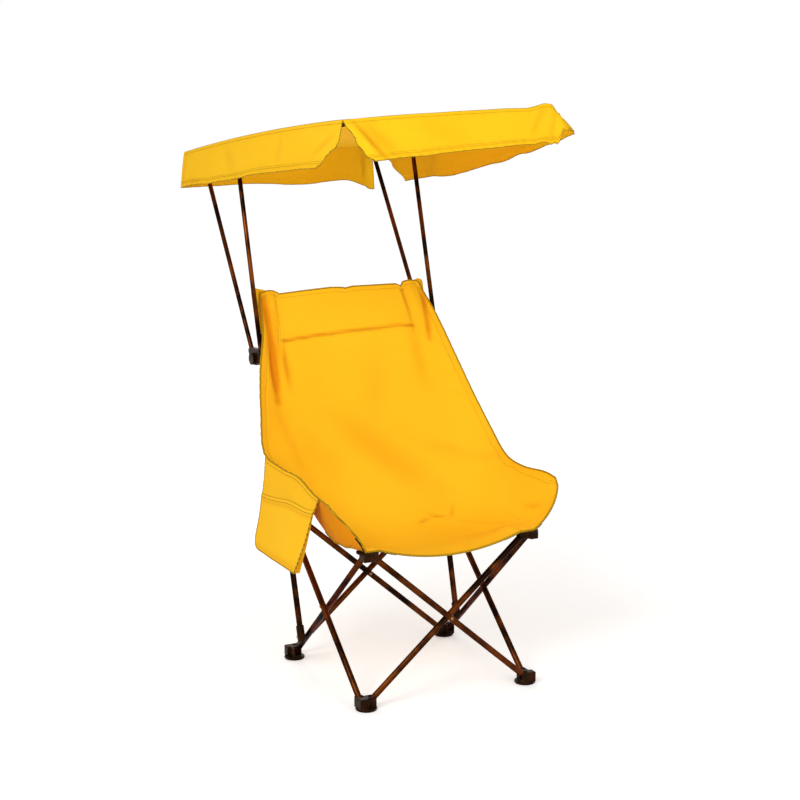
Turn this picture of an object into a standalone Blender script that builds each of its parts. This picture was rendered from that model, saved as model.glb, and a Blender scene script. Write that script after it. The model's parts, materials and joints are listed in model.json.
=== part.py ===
"""Folding scoop chair with a sun canopy, as separate pieces in metres, +Z up.

The chair faces -Y and stands on Z = 0. Four crossed pairs of equal tubes, one pair on each
side of a square, join four feet, two front hubs and two rear sliders. Two uprights stand in
sockets low on two of the tubes and run through the sliders. They carry the cloth sling and,
on two turning hubs, the rods, rails and cover of the canopy.
"""
import math

import bmesh
import bpy
from mathutils import Matrix, Vector

MODEL_NAME = "folding_scoop_chair"

# Sizes of the crossed frame
TUBE_DIAMETER = 0.016
TUBE_WALL = 0.0012
PIN_SPAN = 0.436
CORNER_INSET = 0.020
FOOT_PIN_HEIGHT = 0.025
HUB_PIN_HEIGHT = 0.401
CROSSING_GAP = 0.001
END_REACH = 0.0055
FOLDED_ANGLE = math.radians(83)

# Sizes of the corner blocks
FIT_GAP = 0.0003
EAR_WALL = 0.0035
EAR_REACH = 0.009
SLOT_FLOOR_GAP = 0.0006
ROOF_WALL = 0.004
CORNER_WALL = 0.003
BLOCK_EDGE = 0.0018
RIVET_RADIUS = 0.0025
RIVET_HEAD_RADIUS = 0.0046
RIVET_HEAD_HEIGHT = 0.0016
FLANGE_RADIUS = 0.028
FLANGE_HEIGHT = 0.005
PAD_RADIUS = 0.0265
PAD_HEIGHT = 0.003
CUT_OVERRUN = 0.030

# Sizes of the uprights and their sockets
UPRIGHT_LENGTH = 0.958
UPRIGHT_TAIL = 0.010
UPRIGHT_SPACING = 0.019
SOCKET_REACH = 0.100
SOCKET_TAIL = 0.014
SOCKET_HEIGHT = 0.044
EYE_SETBACK = 0.019
EYE_CLEARANCE = 0.0006
EYE_WALL = 0.0035
BOSS_STEP = 0.001
RIGHT_SPLAY = 0.0075
CAP_WALL = 0.0015
CAP_HEIGHT = 0.012
CAP_TOP = 0.003

# Sizes of the canopy
CANOPY_PIVOT_HEIGHT = 0.820
CLAMP_WALL = 0.0055
CLAMP_HEIGHT = 0.034
HUB_PLATE_THICKNESS = 0.0172
HUB_PLATE_GAP = 0.0005
HUB_PLATE_RADIUS = 0.019
KNOB_RADIUS = 0.015
KNOB_HEIGHT = 0.009
KNOB_BOLT_RADIUS = 0.004
BOLT_DEPTH = 0.0035
ROD_DIAMETER = 0.0125
ROD_WALL = 0.001
ROD_SOCKET_DEPTH = 0.030
ROD_SOCKET_WALL = 0.0028
REAR_ROD_FOOT = 0.022
FRONT_ROD_FOOT = 0.034
REAR_ROD_LEAN = math.radians(34.0)
FRONT_ROD_LEAN = math.radians(15.7)
RAIL_DIAMETER = 0.0125
RAIL_GAP = 0.0008
RAIL_RIVET_RADIUS = 0.0014
RAIL_RIVET_HEAD_RADIUS = 0.00245
RAIL_END_SET = 0.012
RAIL_CAP_LENGTH = 0.008
RAIL_CAP_LIP = 0.0015
COVER_CLOTH = 0.003
COVER_FRONT_Y = -0.255
COVER_REAR_Y = 0.825
COVER_REAR_HEIGHT = 1.357
COVER_FRONT_HEIGHT_LEFT = 1.483
COVER_FRONT_HEIGHT_RIGHT = 1.511
COVER_SAG = 0.006
VALANCE_DEPTH = 0.098
VALANCE_FLARE = 0.016
LEFT_VALANCE_FRONT_CUT = 0.200
RIGHT_VALANCE_REAR_CUT = 0.235
FRONT_VALANCE_LEFT_CUT = 0.058
VALANCE_WAVE = 0.004
REAR_VALANCE_RIGHT_CUT = 0.016

# Sizes of the sling and its pockets
SLING_CLOTH = 0.003
SLING_HALF_WIDTH = 0.343
SLING_TOP_HEIGHT = 1.000
SLING_FRONT_OVERHANG = 0.012
SHELF_MARGIN = 0.004
TOP_POCKET_OUTER_REACH = 0.0115
TOP_POCKET_INNER_REACH = 0.026
TOP_POCKET_HALF_DEPTH = 0.0125
TOP_POCKET_HEIGHT = 0.130
TOP_POCKET_ROOF = 0.002
SIDE_POCKET_THICKNESS = 0.018
SIDE_POCKET_WALL = 0.0022
SIDE_POCKET_HEIGHT = 0.285
SIDE_POCKET_MOUTH_DROP = 0.078
CORNER_WASHER_RADIUS = 0.013
CORNER_WASHER_HEIGHT = 0.004

# Facets of the round pieces
TUBE_SIDES = 16
HOLE_SIDES = 10
TURN_STEPS = 16
SWEEP_STEPS = 9
COVER_COLUMNS = 8
VALANCE_STEPS = 2
VALANCE_WAVES = 3

# Rim and centre line of the sling from its top edge to its front edge, each as a share of
# the half width, of the run from front to top, and of the rise from hub to top
SLING_RIM_SHARES = [
    (0.705, 1.000, 1.000),
    (0.780, 0.885, 0.829),
    (0.866, 0.810, 0.658),
    (0.936, 0.720, 0.487),
    (1.000, 0.615, 0.322),
    (0.990, 0.450, 0.262),
    (0.978, 0.300, 0.244),
    (0.988, 0.155, 0.222),
    (0.992, 0.060, 0.195),
    (0.988, 0.006, 0.170),
]
SLING_CENTRE_SHARES = [
    (1.000, 1.000),
    (0.915, 0.815),
    (0.840, 0.625),
    (0.755, 0.435),
    (0.660, 0.255),
    (0.545, 0.085),
    (0.400, -0.035),
    (0.240, -0.065),
    (0.095, -0.062),
    (0.000, -0.062),
]
SLING_BOW_SHARES = [2.0, 2.2, 2.4, 2.7, 3.2, 4.0, 4.8, 5.0, 5.0, 5.0]
SLING_COLUMNS = 20
SHELF_START_STATION = 7
SHELF_COLUMN_SHARES = (0.6, 0.8)
SHELF_CLIMB_BOW_SHARE = 1.3
SLING_ROWS_PER_STATION = 2
BACK_END_STATION = 3
SEAT_END_STATION = 6

# The side pocket's outline along the left rim and its lower edge, as shares
POCKET_REAR_RIM_SHARE = 4.1
POCKET_FRONT_RIM_SHARE = 7.35
POCKET_BOTTOM_REAR_SHARE = 0.26
POCKET_BOTTOM_FRONT_SHARE = 0.53

# Values worked out from the sizes above
TUBE_RADIUS = TUBE_DIAMETER / 2
PLANE_SHIFT = (TUBE_DIAMETER + CROSSING_GAP) / 2
PIN_HALF = PIN_SPAN / 2
FRAME_HALF = PIN_HALF + CORNER_INSET
RISE = HUB_PIN_HEIGHT - FOOT_PIN_HEIGHT
TUBE_PIN_LENGTH = math.hypot(PIN_SPAN, RISE)
OPEN_ANGLE = math.atan2(RISE, PIN_SPAN)
CROSSING_HEIGHT = (FOOT_PIN_HEIGHT + HUB_PIN_HEIGHT) / 2
END_SWEEP = math.hypot(END_REACH, TUBE_RADIUS) + SLOT_FLOOR_GAP
SLOT_HALF = TUBE_RADIUS + FIT_GAP
ARM_HALF = SLOT_HALF + EAR_WALL
HOLE_RADIUS = RIVET_RADIUS + FIT_GAP
SOCKET_RISE = HUB_PIN_HEIGHT - FOOT_PIN_HEIGHT - SOCKET_REACH * math.sin(OPEN_ANGLE)
SOCKET_RUN = SOCKET_REACH * math.cos(OPEN_ANGLE) + EYE_SETBACK
OPEN_LEAN = math.atan2(SOCKET_RUN, SOCKET_RISE)
FOLDED_LEAN = math.atan2(
    SOCKET_REACH * math.cos(FOLDED_ANGLE) + EYE_SETBACK,
    (TUBE_PIN_LENGTH - SOCKET_REACH) * math.sin(FOLDED_ANGLE),
)
LEAN_RATE = (FOLDED_LEAN - OPEN_LEAN) / (FOLDED_ANGLE - OPEN_ANGLE)
SOCKET_Y = PIN_HALF - SOCKET_REACH * math.cos(OPEN_ANGLE)
SOCKET_Z = FOOT_PIN_HEIGHT + SOCKET_REACH * math.sin(OPEN_ANGLE)
SOCKET_RADIUS = UPRIGHT_SPACING - TUBE_RADIUS - FIT_GAP
HUB_ROOF = HUB_PIN_HEIGHT + END_SWEEP + ROOF_WALL
ROD_RADIUS = ROD_DIAMETER / 2
RAIL_RADIUS = RAIL_DIAMETER / 2
CANOPY_OFFSET = TUBE_RADIUS + CLAMP_WALL + HUB_PLATE_GAP + HUB_PLATE_THICKNESS / 2
RAIL_OFFSET = CANOPY_OFFSET + ROD_RADIUS + RAIL_GAP + RAIL_RADIUS


def clear_scene():
    """Take everything out of the file that the script runs in."""
    for item in list(bpy.data.objects):
        bpy.data.objects.remove(item, do_unlink=True)


def new_collection(name):
    """Make a collection under the scene's own."""
    collection = bpy.data.collections.new(name)
    bpy.context.scene.collection.children.link(collection)
    return collection


clear_scene()
PARTS = new_collection(MODEL_NAME)
CUTTERS = new_collection(MODEL_NAME + "_cutters")


def material(name, colour, roughness, metallic=0.0):
    """Make a Principled material."""
    made = bpy.data.materials.new(name)
    made.use_nodes = True
    shader = made.node_tree.nodes["Principled BSDF"]
    shader.inputs["Base Color"].default_value = (*colour, 1.0)
    shader.inputs["Roughness"].default_value = roughness
    shader.inputs["Metallic"].default_value = metallic
    return made


BROWN_TUBE = material("brown_painted_steel", (0.085, 0.030, 0.012), 0.35, 0.6)
DARK_PLASTIC = material("dark_moulded_plastic", (0.020, 0.012, 0.008), 0.5)
SOFT_PAD = material("black_rubber", (0.012, 0.010, 0.010), 0.8)
RIVET_STEEL = material("bronzed_rivet", (0.35, 0.22, 0.12), 0.35, 0.9)
SEAT_CLOTH = material("yellow_woven_polyester", (0.97, 0.46, 0.01), 0.75)
COVER_MATERIAL = material("yellow_canopy_polyester", (0.98, 0.56, 0.01), 0.75)


def add_object(name, mesh, finish):
    """Put a mesh in the parts."""
    item = bpy.data.objects.new(name, mesh)
    mesh.materials.append(finish)
    PARTS.objects.link(item)
    return item


def add_operand(name, mesh):
    """Put a mesh among the cutters: the build leaves it out."""
    item = bpy.data.objects.new(name, mesh)
    item.hide_render = True
    item.display_type = "WIRE"
    CUTTERS.objects.link(item)
    return item


def mesh_from(build, name):
    """Run a bmesh builder and return its mesh."""
    work = bmesh.new()
    build(work)
    bmesh.ops.recalc_face_normals(work, faces=work.faces)
    mesh = bpy.data.meshes.new(name)
    work.to_mesh(mesh)
    work.free()
    return mesh


def box_mesh(name, low, high, frame=None):
    """A box between two corners, turned and moved by frame."""
    low, high = Vector(low), Vector(high)
    size = high - low
    place = Matrix.Translation((low + high) / 2) @ Matrix.Diagonal((*size, 1.0))
    if frame is not None:
        place = frame @ place
    return mesh_from(lambda work: bmesh.ops.create_cube(work, size=1.0, matrix=place), name)


def prism_mesh(name, outline, low, high, frame):
    """A prism over a flat outline, from one level to another, turned and moved by frame."""
    curve = bpy.data.curves.new(name + "_outline", "CURVE")
    curve.dimensions = "2D"
    curve.fill_mode = "BOTH"
    curve.extrude = (high - low) / 2
    curve.render_resolution_u = 0
    spline = curve.splines.new("POLY")
    spline.points.add(len(outline) - 1)
    for point, (a, b) in zip(spline.points, outline):
        point.co = (a, b, 0.0, 1.0)
    spline.use_cyclic_u = True
    item = bpy.data.objects.new(name + "_outline", curve)
    CUTTERS.objects.link(item)
    graph = bpy.context.evaluated_depsgraph_get()
    mesh = bpy.data.meshes.new_from_object(item.evaluated_get(graph))
    bpy.data.objects.remove(item, do_unlink=True)
    mesh.transform(frame @ Matrix.Translation((0.0, 0.0, (low + high) / 2)))
    work = bmesh.new()
    work.from_mesh(mesh)
    bmesh.ops.remove_doubles(work, verts=work.verts, dist=FIT_GAP / 3)
    bmesh.ops.dissolve_limit(work, angle_limit=math.radians(1), verts=work.verts, edges=work.edges)
    bmesh.ops.recalc_face_normals(work, faces=work.faces)
    work.to_mesh(mesh)
    work.free()
    return mesh


def along(start, end):
    """The matrix that lays local Z from start to end, with its middle at the origin."""
    start, end = Vector(start), Vector(end)
    turn = (end - start).to_track_quat("Z", "Y").to_matrix().to_4x4()
    return Matrix.Translation((start + end) / 2) @ turn


def rod_mesh(name, start, end, radius, sides):
    """A closed round bar between two points."""
    length = (Vector(end) - Vector(start)).length

    def build(work):
        bmesh.ops.create_cone(
            work, cap_ends=True, segments=sides, radius1=radius, radius2=radius,
            depth=length, matrix=along(start, end))

    mesh = mesh_from(build, name)
    shade(mesh)
    return mesh


def hull_mesh(name, points):
    """The convex hull of some points."""

    def build(work):
        for point in points:
            work.verts.new(point)
        bmesh.ops.remove_doubles(work, verts=work.verts, dist=FIT_GAP / 3)
        hull = bmesh.ops.convex_hull(work, input=work.verts)
        spare = {item for key in ("geom_interior", "geom_unused") for item in hull[key]}
        unused = [item for item in spare if isinstance(item, bmesh.types.BMVert)]
        bmesh.ops.delete(work, geom=unused, context="VERTS")
        bmesh.ops.dissolve_limit(work, angle_limit=math.radians(1), verts=work.verts, edges=work.edges)

    return mesh_from(build, name)


def pipe(name, start, end, radius, wall):
    """A hollow round tube between two points, open at both ends."""
    length = (Vector(end) - Vector(start)).length

    def build(work):
        bmesh.ops.create_cone(
            work, cap_ends=False, segments=TUBE_SIDES, radius1=radius, radius2=radius,
            depth=length, matrix=along(start, end))

    mesh = mesh_from(build, name)
    shade(mesh)
    item = add_object(name, mesh, BROWN_TUBE)
    step = item.modifiers.new("wall", "SOLIDIFY")
    step.thickness = wall
    step.offset = -1.0
    step.use_even_offset = True
    return item


def shade(mesh, angle=math.radians(35)):
    """Smooth the round faces and keep the edges sharp."""
    mesh.shade_smooth()
    mesh.set_sharp_from_angle(angle=angle)


def cut(item, operand, operation="DIFFERENCE"):
    """Add a Boolean modifier."""
    step = item.modifiers.new(operand.name, "BOOLEAN")
    step.operation = operation
    step.object = operand


def soften(item, width, segments=1):
    """Round the edges of a block."""
    step = item.modifiers.new("rounded_edges", "BEVEL")
    step.width = width
    step.segments = segments
    step.limit_method = "ANGLE"
    step.angle_limit = math.radians(40)


def turned(name, profile, place, steps=TURN_STEPS):
    """A turned piece: a profile of radius and height pairs, run round its local Z axis."""
    mesh = bpy.data.meshes.new(name)
    points = [(radius, 0.0, height) for radius, height in profile]
    edges = [(index, index + 1) for index in range(len(points) - 1)]
    mesh.from_pydata(points, edges, [])
    item = bpy.data.objects.new(name, mesh)
    item.matrix_world = place
    step = item.modifiers.new("turn", "SCREW")
    step.steps = steps
    step.render_steps = steps
    step.use_merge_vertices = True
    step.merge_threshold = 0.0001
    step.use_smooth_shade = True
    return item


def turned_part(name, profile, place, finish, steps=TURN_STEPS):
    """A turned piece among the parts."""
    item = turned(name, profile, place, steps)
    item.data.materials.append(finish)
    PARTS.objects.link(item)
    return item


def turned_operand(name, profile, place, steps=TURN_STEPS):
    """A turned piece among the cutters."""
    item = turned(name, profile, place, steps)
    item.hide_render = True
    item.display_type = "WIRE"
    CUTTERS.objects.link(item)
    return item


def rivet_profile(half_length, radius, head_radius, head_height):
    """The outline of a rivet with a low dome at each end, from its top to its bottom."""
    crown = head_radius / 2
    return [
        (0.0, half_length + head_height),
        (crown, half_length + head_height),
        (head_radius, half_length + head_height / 3),
        (head_radius, half_length),
        (radius, half_length),
        (radius, -half_length),
        (head_radius, -half_length),
        (head_radius, -half_length - head_height / 3),
        (crown, -half_length - head_height),
        (0.0, -half_length - head_height),
    ]


def corner_frame(corner):
    """The frame of a corner: 0 front left, 1 front right, 2 rear right, 3 rear left.

    Its origin stands on the corner of the square, its X runs along the side that starts
    there, and its Y along the side that ends there.
    """
    turn = Matrix.Rotation(corner * math.pi / 2, 4, "Z")
    return turn @ Matrix.Translation((-FRAME_HALF, -FRAME_HALF, 0.0))


CORNER_NAMES = ["front_left", "front_right", "rear_right", "rear_left"]
SIDE_NAMES = ["front", "right", "rear", "left"]


def side_point(side, along_side, outward, height):
    """A point beside one side of the frame, in world coordinates."""
    turn = Matrix.Rotation(side * math.pi / 2, 4, "Z")
    return turn @ Vector((along_side, -FRAME_HALF - outward, height))


def pin_point(side, outer, top):
    """The pin at the foot or top of a tube: the inner tube climbs along the side."""
    outward = PLANE_SHIFT if outer else -PLANE_SHIFT
    at_end = top != outer
    height = HUB_PIN_HEIGHT if top else FOOT_PIN_HEIGHT
    return side_point(side, PIN_HALF if at_end else -PIN_HALF, outward, height)


def hole_through(name, centre, direction, radius=HOLE_RADIUS):
    """A cutter for a rivet hole through a tube."""
    reach = direction.normalized() * (TUBE_DIAMETER + CROSSING_GAP)
    return add_operand(name, rod_mesh(name, centre - reach, centre + reach, radius, HOLE_SIDES))


def frame_tube(side, outer):
    """One tube of a crossed pair, with a hole for each rivet."""
    name = SIDE_NAMES[side] + ("_tube_outer" if outer else "_tube_inner")
    foot = pin_point(side, outer, False)
    top = pin_point(side, outer, True)
    run = (top - foot).normalized()
    tube = pipe(name, foot - run * END_REACH, top + run * END_REACH, TUBE_RADIUS, TUBE_WALL)
    normal = side_point(side, 0.0, 1.0, 0.0) - side_point(side, 0.0, 0.0, 0.0)
    places = [foot, (foot + top) / 2, top]
    if carries_upright(side, outer):
        places.append(foot + run * SOCKET_REACH)
    for index, place in enumerate(places):
        cut(tube, hole_through(f"{name}_hole_{index}", place, normal))
    return tube


def carries_upright(side, outer):
    """Whether a tube has an upright's socket on it: both start at a rear foot."""
    return (SIDE_NAMES[side], outer) in (("left", False), ("right", True))


def crossing_rivet(side):
    """The rivet where the two tubes of a side cross."""
    name = SIDE_NAMES[side] + "_crossing_rivet"
    centre = side_point(side, 0.0, 0.0, CROSSING_HEIGHT)
    outside = side_point(side, 0.0, 1.0, CROSSING_HEIGHT)
    half = PLANE_SHIFT + TUBE_RADIUS + FIT_GAP
    profile = rivet_profile(half, RIVET_RADIUS, RIVET_HEAD_RADIUS, RIVET_HEAD_HEIGHT)
    turn = (outside - centre).to_track_quat("Z", "Y").to_matrix().to_4x4()
    return turned_part(name, profile, Matrix.Translation(centre) @ turn, RIVET_STEEL)


def block_outline(is_foot):
    """The outline of a corner block: two arms, one along each side. A top block is a mirrored foot."""
    back = -CORNER_WALL - PLANE_SHIFT
    tip = CORNER_INSET + EAR_REACH
    near, far = ARM_HALF - PLANE_SHIFT, ARM_HALF + PLANE_SHIFT
    outline = [
        (-far, back), (near, back), (near, -near), (tip, -near),
        (tip, far), (near, far), (near, tip), (-far, tip),
    ]
    return outline if is_foot else [(b, a) for a, b in outline]


def block_slots(is_foot):
    """The low and high corners of the two slots that hold the tube ends."""
    pin_height = FOOT_PIN_HEIGHT if is_foot else HUB_PIN_HEIGHT
    floor, opening = (-END_SWEEP, CUT_OVERRUN) if is_foot else (-CUT_OVERRUN, END_SWEEP)
    shift = PLANE_SHIFT if is_foot else -PLANE_SHIFT
    start, end = CORNER_INSET - END_SWEEP, CORNER_INSET + CUT_OVERRUN
    low, high = pin_height + floor, pin_height + opening
    return [
        ((start, shift - SLOT_HALF, low), (end, shift + SLOT_HALF, high)),
        ((-shift - SLOT_HALF, start, low), (-shift + SLOT_HALF, end, high)),
    ]


def corner_block(name, corner, is_foot, extra_joins=(), extra_cuts=()):
    """A moulded block that holds two tube ends, each in a slot on a rivet."""
    frame = corner_frame(corner)
    pin_height = FOOT_PIN_HEIGHT if is_foot else HUB_PIN_HEIGHT
    low = PAD_HEIGHT + FLANGE_HEIGHT / 2 if is_foot else pin_height - EAR_REACH
    high = pin_height + EAR_REACH if is_foot else HUB_ROOF
    block = add_object(name, prism_mesh(name, block_outline(is_foot), low, high, frame), DARK_PLASTIC)
    soften(block, BLOCK_EDGE)
    for join in extra_joins:
        cut(block, join, "UNION")
    slots = [
        add_operand(f"{name}_slot_{index}", box_mesh(f"{name}_slot_{index}", *corners, frame))
        for index, corners in enumerate(block_slots(is_foot))
    ]
    for slot in [*slots, *extra_cuts]:
        cut(block, slot)
    shift = PLANE_SHIFT if is_foot else -PLANE_SHIFT
    half = ARM_HALF - FIT_GAP
    profile = rivet_profile(half, RIVET_RADIUS, RIVET_HEAD_RADIUS, RIVET_HEAD_HEIGHT)
    pins = [
        (Vector((CORNER_INSET, shift, pin_height)), Matrix.Rotation(math.pi / 2, 4, "X")),
        (Vector((-shift, CORNER_INSET, pin_height)), Matrix.Rotation(math.pi / 2, 4, "Y")),
    ]
    for index, (centre, turn) in enumerate(pins):
        place = frame @ Matrix.Translation(centre) @ turn
        rivet = turned_operand(f"{name}_rivet_{index}", profile, place, HOLE_SIDES)
        cut(block, rivet, "UNION")
    return block


def foot_centre(corner):
    """Where the round flange of a foot stands, in world coordinates."""
    middle = (CORNER_INSET + EAR_REACH - CORNER_WALL) / 3
    return corner_frame(corner) @ Vector((middle - PLANE_SHIFT / 2, middle, 0.0))


def foot(corner):
    """A foot: the block, its round flange and the rubber pad under it."""
    name = "foot_" + CORNER_NAMES[corner]
    centre = foot_centre(corner)
    edge = FLANGE_HEIGHT / 3
    profile = [
        (0.0, PAD_HEIGHT + FLANGE_HEIGHT),
        (FLANGE_RADIUS - edge, PAD_HEIGHT + FLANGE_HEIGHT),
        (FLANGE_RADIUS, PAD_HEIGHT + FLANGE_HEIGHT - edge),
        (FLANGE_RADIUS, PAD_HEIGHT),
        (0.0, PAD_HEIGHT),
    ]
    flange = turned_operand(name + "_flange", profile, Matrix.Translation(centre), TUBE_SIDES)
    corner_block(name, corner, True, extra_joins=[flange])
    top = PAD_HEIGHT - FIT_GAP
    groove = PAD_HEIGHT / 3
    pad = [(0.0, top), (PAD_RADIUS, top), (PAD_RADIUS, groove), (PAD_RADIUS - groove, 0.0), (0.0, 0.0)]
    turned_part("foot_pad_" + CORNER_NAMES[corner], pad, Matrix.Translation(centre), SOFT_PAD, TUBE_SIDES)


class Upright:
    """Where one upright stands: on the left or the right."""

    def __init__(self, side_name):
        self.side_name = side_name
        self.is_left = side_name == "left"
        self.out = -1.0 if self.is_left else 1.0
        carrier_x = -FRAME_HALF if self.is_left else FRAME_HALF
        self.carrier_x = carrier_x + PLANE_SHIFT
        splay = 0.0 if self.is_left else RIGHT_SPLAY
        self.pin = Vector((self.carrier_x - UPRIGHT_SPACING, SOCKET_Y, SOCKET_Z))
        at_eye = Vector((self.pin.x + splay, PIN_HALF + EYE_SETBACK, HUB_PIN_HEIGHT))
        self.axis = (at_eye - self.pin).normalized()
        self.at_eye = at_eye

    def at_height(self, height):
        """The point of the axis at a height."""
        return self.pin + self.axis * ((height - self.pin.z) / self.axis.z)

    def turn(self):
        """The turn that lays local Z along the axis and keeps local X level, to the right."""
        back = self.axis.cross(Vector((1.0, 0.0, 0.0))).normalized()
        return Matrix((back.cross(self.axis), back, self.axis)).transposed().to_4x4()


LEFT = Upright("left")
RIGHT = Upright("right")


def swept_eye(upright):
    """The space that the upright takes in its slider while the frame folds."""
    name = upright.side_name + "_slider_eye"
    radius = TUBE_RADIUS + EYE_CLEARANCE
    splay = upright.axis.x / math.hypot(upright.axis.y, upright.axis.z)
    points = []
    for step in range(SWEEP_STEPS):
        share = step / (SWEEP_STEPS - 1)
        angle = OPEN_ANGLE + (FOLDED_ANGLE - OPEN_ANGLE) * share
        lean = OPEN_LEAN + LEAN_RATE * (angle - OPEN_ANGLE)
        height = (TUBE_PIN_LENGTH - SOCKET_REACH) * math.sin(angle)
        back = math.tan(lean) * height - SOCKET_REACH * math.cos(angle)
        aside = upright.pin.x + splay * height / math.cos(lean)
        for level in (-CUT_OVERRUN, CUT_OVERRUN):
            y = PIN_HALF + back + math.tan(lean) * level
            x = aside + splay * level / math.cos(lean)
            for turn in range(TUBE_SIDES):
                turned_by = 2 * math.pi * turn / TUBE_SIDES
                points.append(Vector((
                    x + radius * math.cos(turned_by),
                    y + radius * math.sin(turned_by) / math.cos(lean),
                    HUB_PIN_HEIGHT + level,
                )))
    return add_operand(name, hull_mesh(name, points))


def eye_shift():
    """How far the upright moves back in its slider's eye at the middle of the fold."""
    angle = (OPEN_ANGLE + FOLDED_ANGLE) / 2
    lean = OPEN_LEAN + LEAN_RATE * (angle - OPEN_ANGLE)
    height = (TUBE_PIN_LENGTH - SOCKET_REACH) * math.sin(angle)
    return math.tan(lean) * height - SOCKET_REACH * math.cos(angle) - EYE_SETBACK


def slider(upright, corner):
    """A rear slider: a corner block with an eye that the upright runs through."""
    name = upright.side_name + "_rear_slider"
    half = TUBE_RADIUS + EYE_CLEARANCE + EYE_WALL
    slant = math.tan(OPEN_LEAN) * EAR_REACH
    low = (upright.at_eye.x - half, upright.at_eye.y - half, HUB_PIN_HEIGHT - EAR_REACH - BOSS_STEP)
    high = (upright.at_eye.x + half, upright.at_eye.y + half + eye_shift() + slant, HUB_ROOF + BOSS_STEP)
    boss = add_operand(name + "_boss", box_mesh(name + "_boss", low, high))
    soften(boss, BLOCK_EDGE)
    corner_block(name, corner, False, extra_joins=[boss], extra_cuts=[swept_eye(upright)])


def upright_tube(upright):
    """The long tube of the back, its cap, its socket and the socket's rivet."""
    side = upright.side_name
    start = upright.pin - upright.axis * UPRIGHT_TAIL
    end = start + upright.axis * UPRIGHT_LENGTH
    tube = pipe(side + "_upright", start, end, TUBE_RADIUS, TUBE_WALL)
    across = Vector((1.0, 0.0, 0.0))
    hole = hole_through(side + "_upright_hole", upright.pin, across)
    cut(tube, hole)
    socket_low = upright.pin - upright.axis * SOCKET_TAIL
    socket_high = socket_low + upright.axis * SOCKET_HEIGHT
    socket = add_object(side + "_upright_socket",
                        rod_mesh(side + "_upright_socket", socket_low, socket_high, SOCKET_RADIUS, TUBE_SIDES),
                        DARK_PLASTIC)
    soften(socket, BLOCK_EDGE)
    bore_low = start - upright.axis * FIT_GAP
    bore_high = socket_high + upright.axis * CUT_OVERRUN
    bore = add_operand(side + "_socket_bore",
                       rod_mesh(side + "_socket_bore", bore_low, bore_high, TUBE_RADIUS + FIT_GAP, TUBE_SIDES))
    cut(socket, bore)
    cut(socket, hole_through(side + "_socket_hole", upright.pin, across))
    inner = upright.pin.x - SOCKET_RADIUS - FIT_GAP
    outer = upright.carrier_x + TUBE_RADIUS + FIT_GAP
    centre = Vector(((inner + outer) / 2, upright.pin.y, upright.pin.z))
    profile = rivet_profile((outer - inner) / 2, RIVET_RADIUS, RIVET_HEAD_RADIUS, RIVET_HEAD_HEIGHT)
    place = Matrix.Translation(centre) @ Matrix.Rotation(math.pi / 2, 4, "Y")
    turned_part(side + "_socket_rivet", profile, place, RIVET_STEEL)
    radius = TUBE_RADIUS + CAP_WALL
    fit = TUBE_RADIUS + FIT_GAP
    cap = [
        (0.0, CAP_TOP), (radius - CAP_WALL, CAP_TOP), (radius, CAP_TOP / 2), (radius, FIT_GAP - CAP_HEIGHT),
        (fit, FIT_GAP - CAP_HEIGHT), (fit, FIT_GAP), (0.0, FIT_GAP),
    ]
    turned_part(side + "_upright_cap", cap, Matrix.Translation(end) @ upright.turn(), DARK_PLASTIC, TUBE_SIDES)
    return end


def canopy_pivot(upright):
    """Where the canopy turns beside an upright: on the upright's axis, in the rods' plane."""
    at = upright.at_height(CANOPY_PIVOT_HEIGHT)
    return Vector((at.x + upright.out * CANOPY_OFFSET, at.y, at.z))


def rod_line(upright, is_rear):
    """The foot and direction of a canopy rod."""
    pivot = canopy_pivot(upright)
    shift = REAR_ROD_FOOT if is_rear else -FRONT_ROD_FOOT
    lean = REAR_ROD_LEAN if is_rear else FRONT_ROD_LEAN
    return pivot + Vector((0.0, shift, 0.0)), Vector((0.0, math.sin(lean), math.cos(lean)))


def cover_height(upright, y):
    """The height of the cover's top edge over a rail."""
    front = COVER_FRONT_HEIGHT_LEFT if upright.is_left else COVER_FRONT_HEIGHT_RIGHT
    share = (y - COVER_FRONT_Y) / (COVER_REAR_Y - COVER_FRONT_Y)
    return front + (COVER_REAR_HEIGHT - front) * share


def rail_x(upright):
    """How far across a side rail lies."""
    return upright.at_height(CANOPY_PIVOT_HEIGHT).x + upright.out * RAIL_OFFSET


def cover_x(upright):
    """How far across a side edge of the cover lies: just outside the rail."""
    return rail_x(upright) + upright.out * (RAIL_RADIUS + FIT_GAP + COVER_CLOTH / 2)


def rail_point(upright, y):
    """A point of a side rail's axis, under the cover wherever the cover slopes."""
    depth = COVER_REAR_Y - COVER_FRONT_Y
    slopes = [cover_height(side, COVER_REAR_Y) - cover_height(side, COVER_FRONT_Y) for side in (LEFT, RIGHT)]
    slope = max(abs(rise) for rise in slopes) / depth
    fall = cover_height(RIGHT, COVER_FRONT_Y) - cover_height(LEFT, COVER_FRONT_Y)
    cross = fall / (cover_x(RIGHT) - cover_x(LEFT))
    share = (COVER_REAR_Y - y) / depth
    inset = (rail_x(upright) - cover_x(upright)) * cross * share
    drop = (COVER_CLOTH / 2 + RAIL_RADIUS + CROSSING_GAP) * math.sqrt(1.0 + slope ** 2 + cross ** 2)
    return Vector((rail_x(upright), y, cover_height(upright, y) + inset - drop))


def rod_top(upright, is_rear):
    """Where a rod crosses its rail."""
    foot_point, run = rod_line(upright, is_rear)
    front = rail_point(upright, COVER_FRONT_Y)
    rear = rail_point(upright, COVER_REAR_Y)
    slope = (rear.z - front.z) / (rear.y - front.y)
    length = (front.z + slope * (foot_point.y - front.y) - foot_point.z) / (run.z - slope * run.y)
    return foot_point + run * length


def circle_points(centre, radius, x):
    """Points of a circle in the plane of the rods."""
    turns = [2 * math.pi * step / HOLE_SIDES for step in range(HOLE_SIDES)]
    return [Vector((x, centre.y + radius * math.cos(t), centre.z + radius * math.sin(t))) for t in turns]


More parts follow.
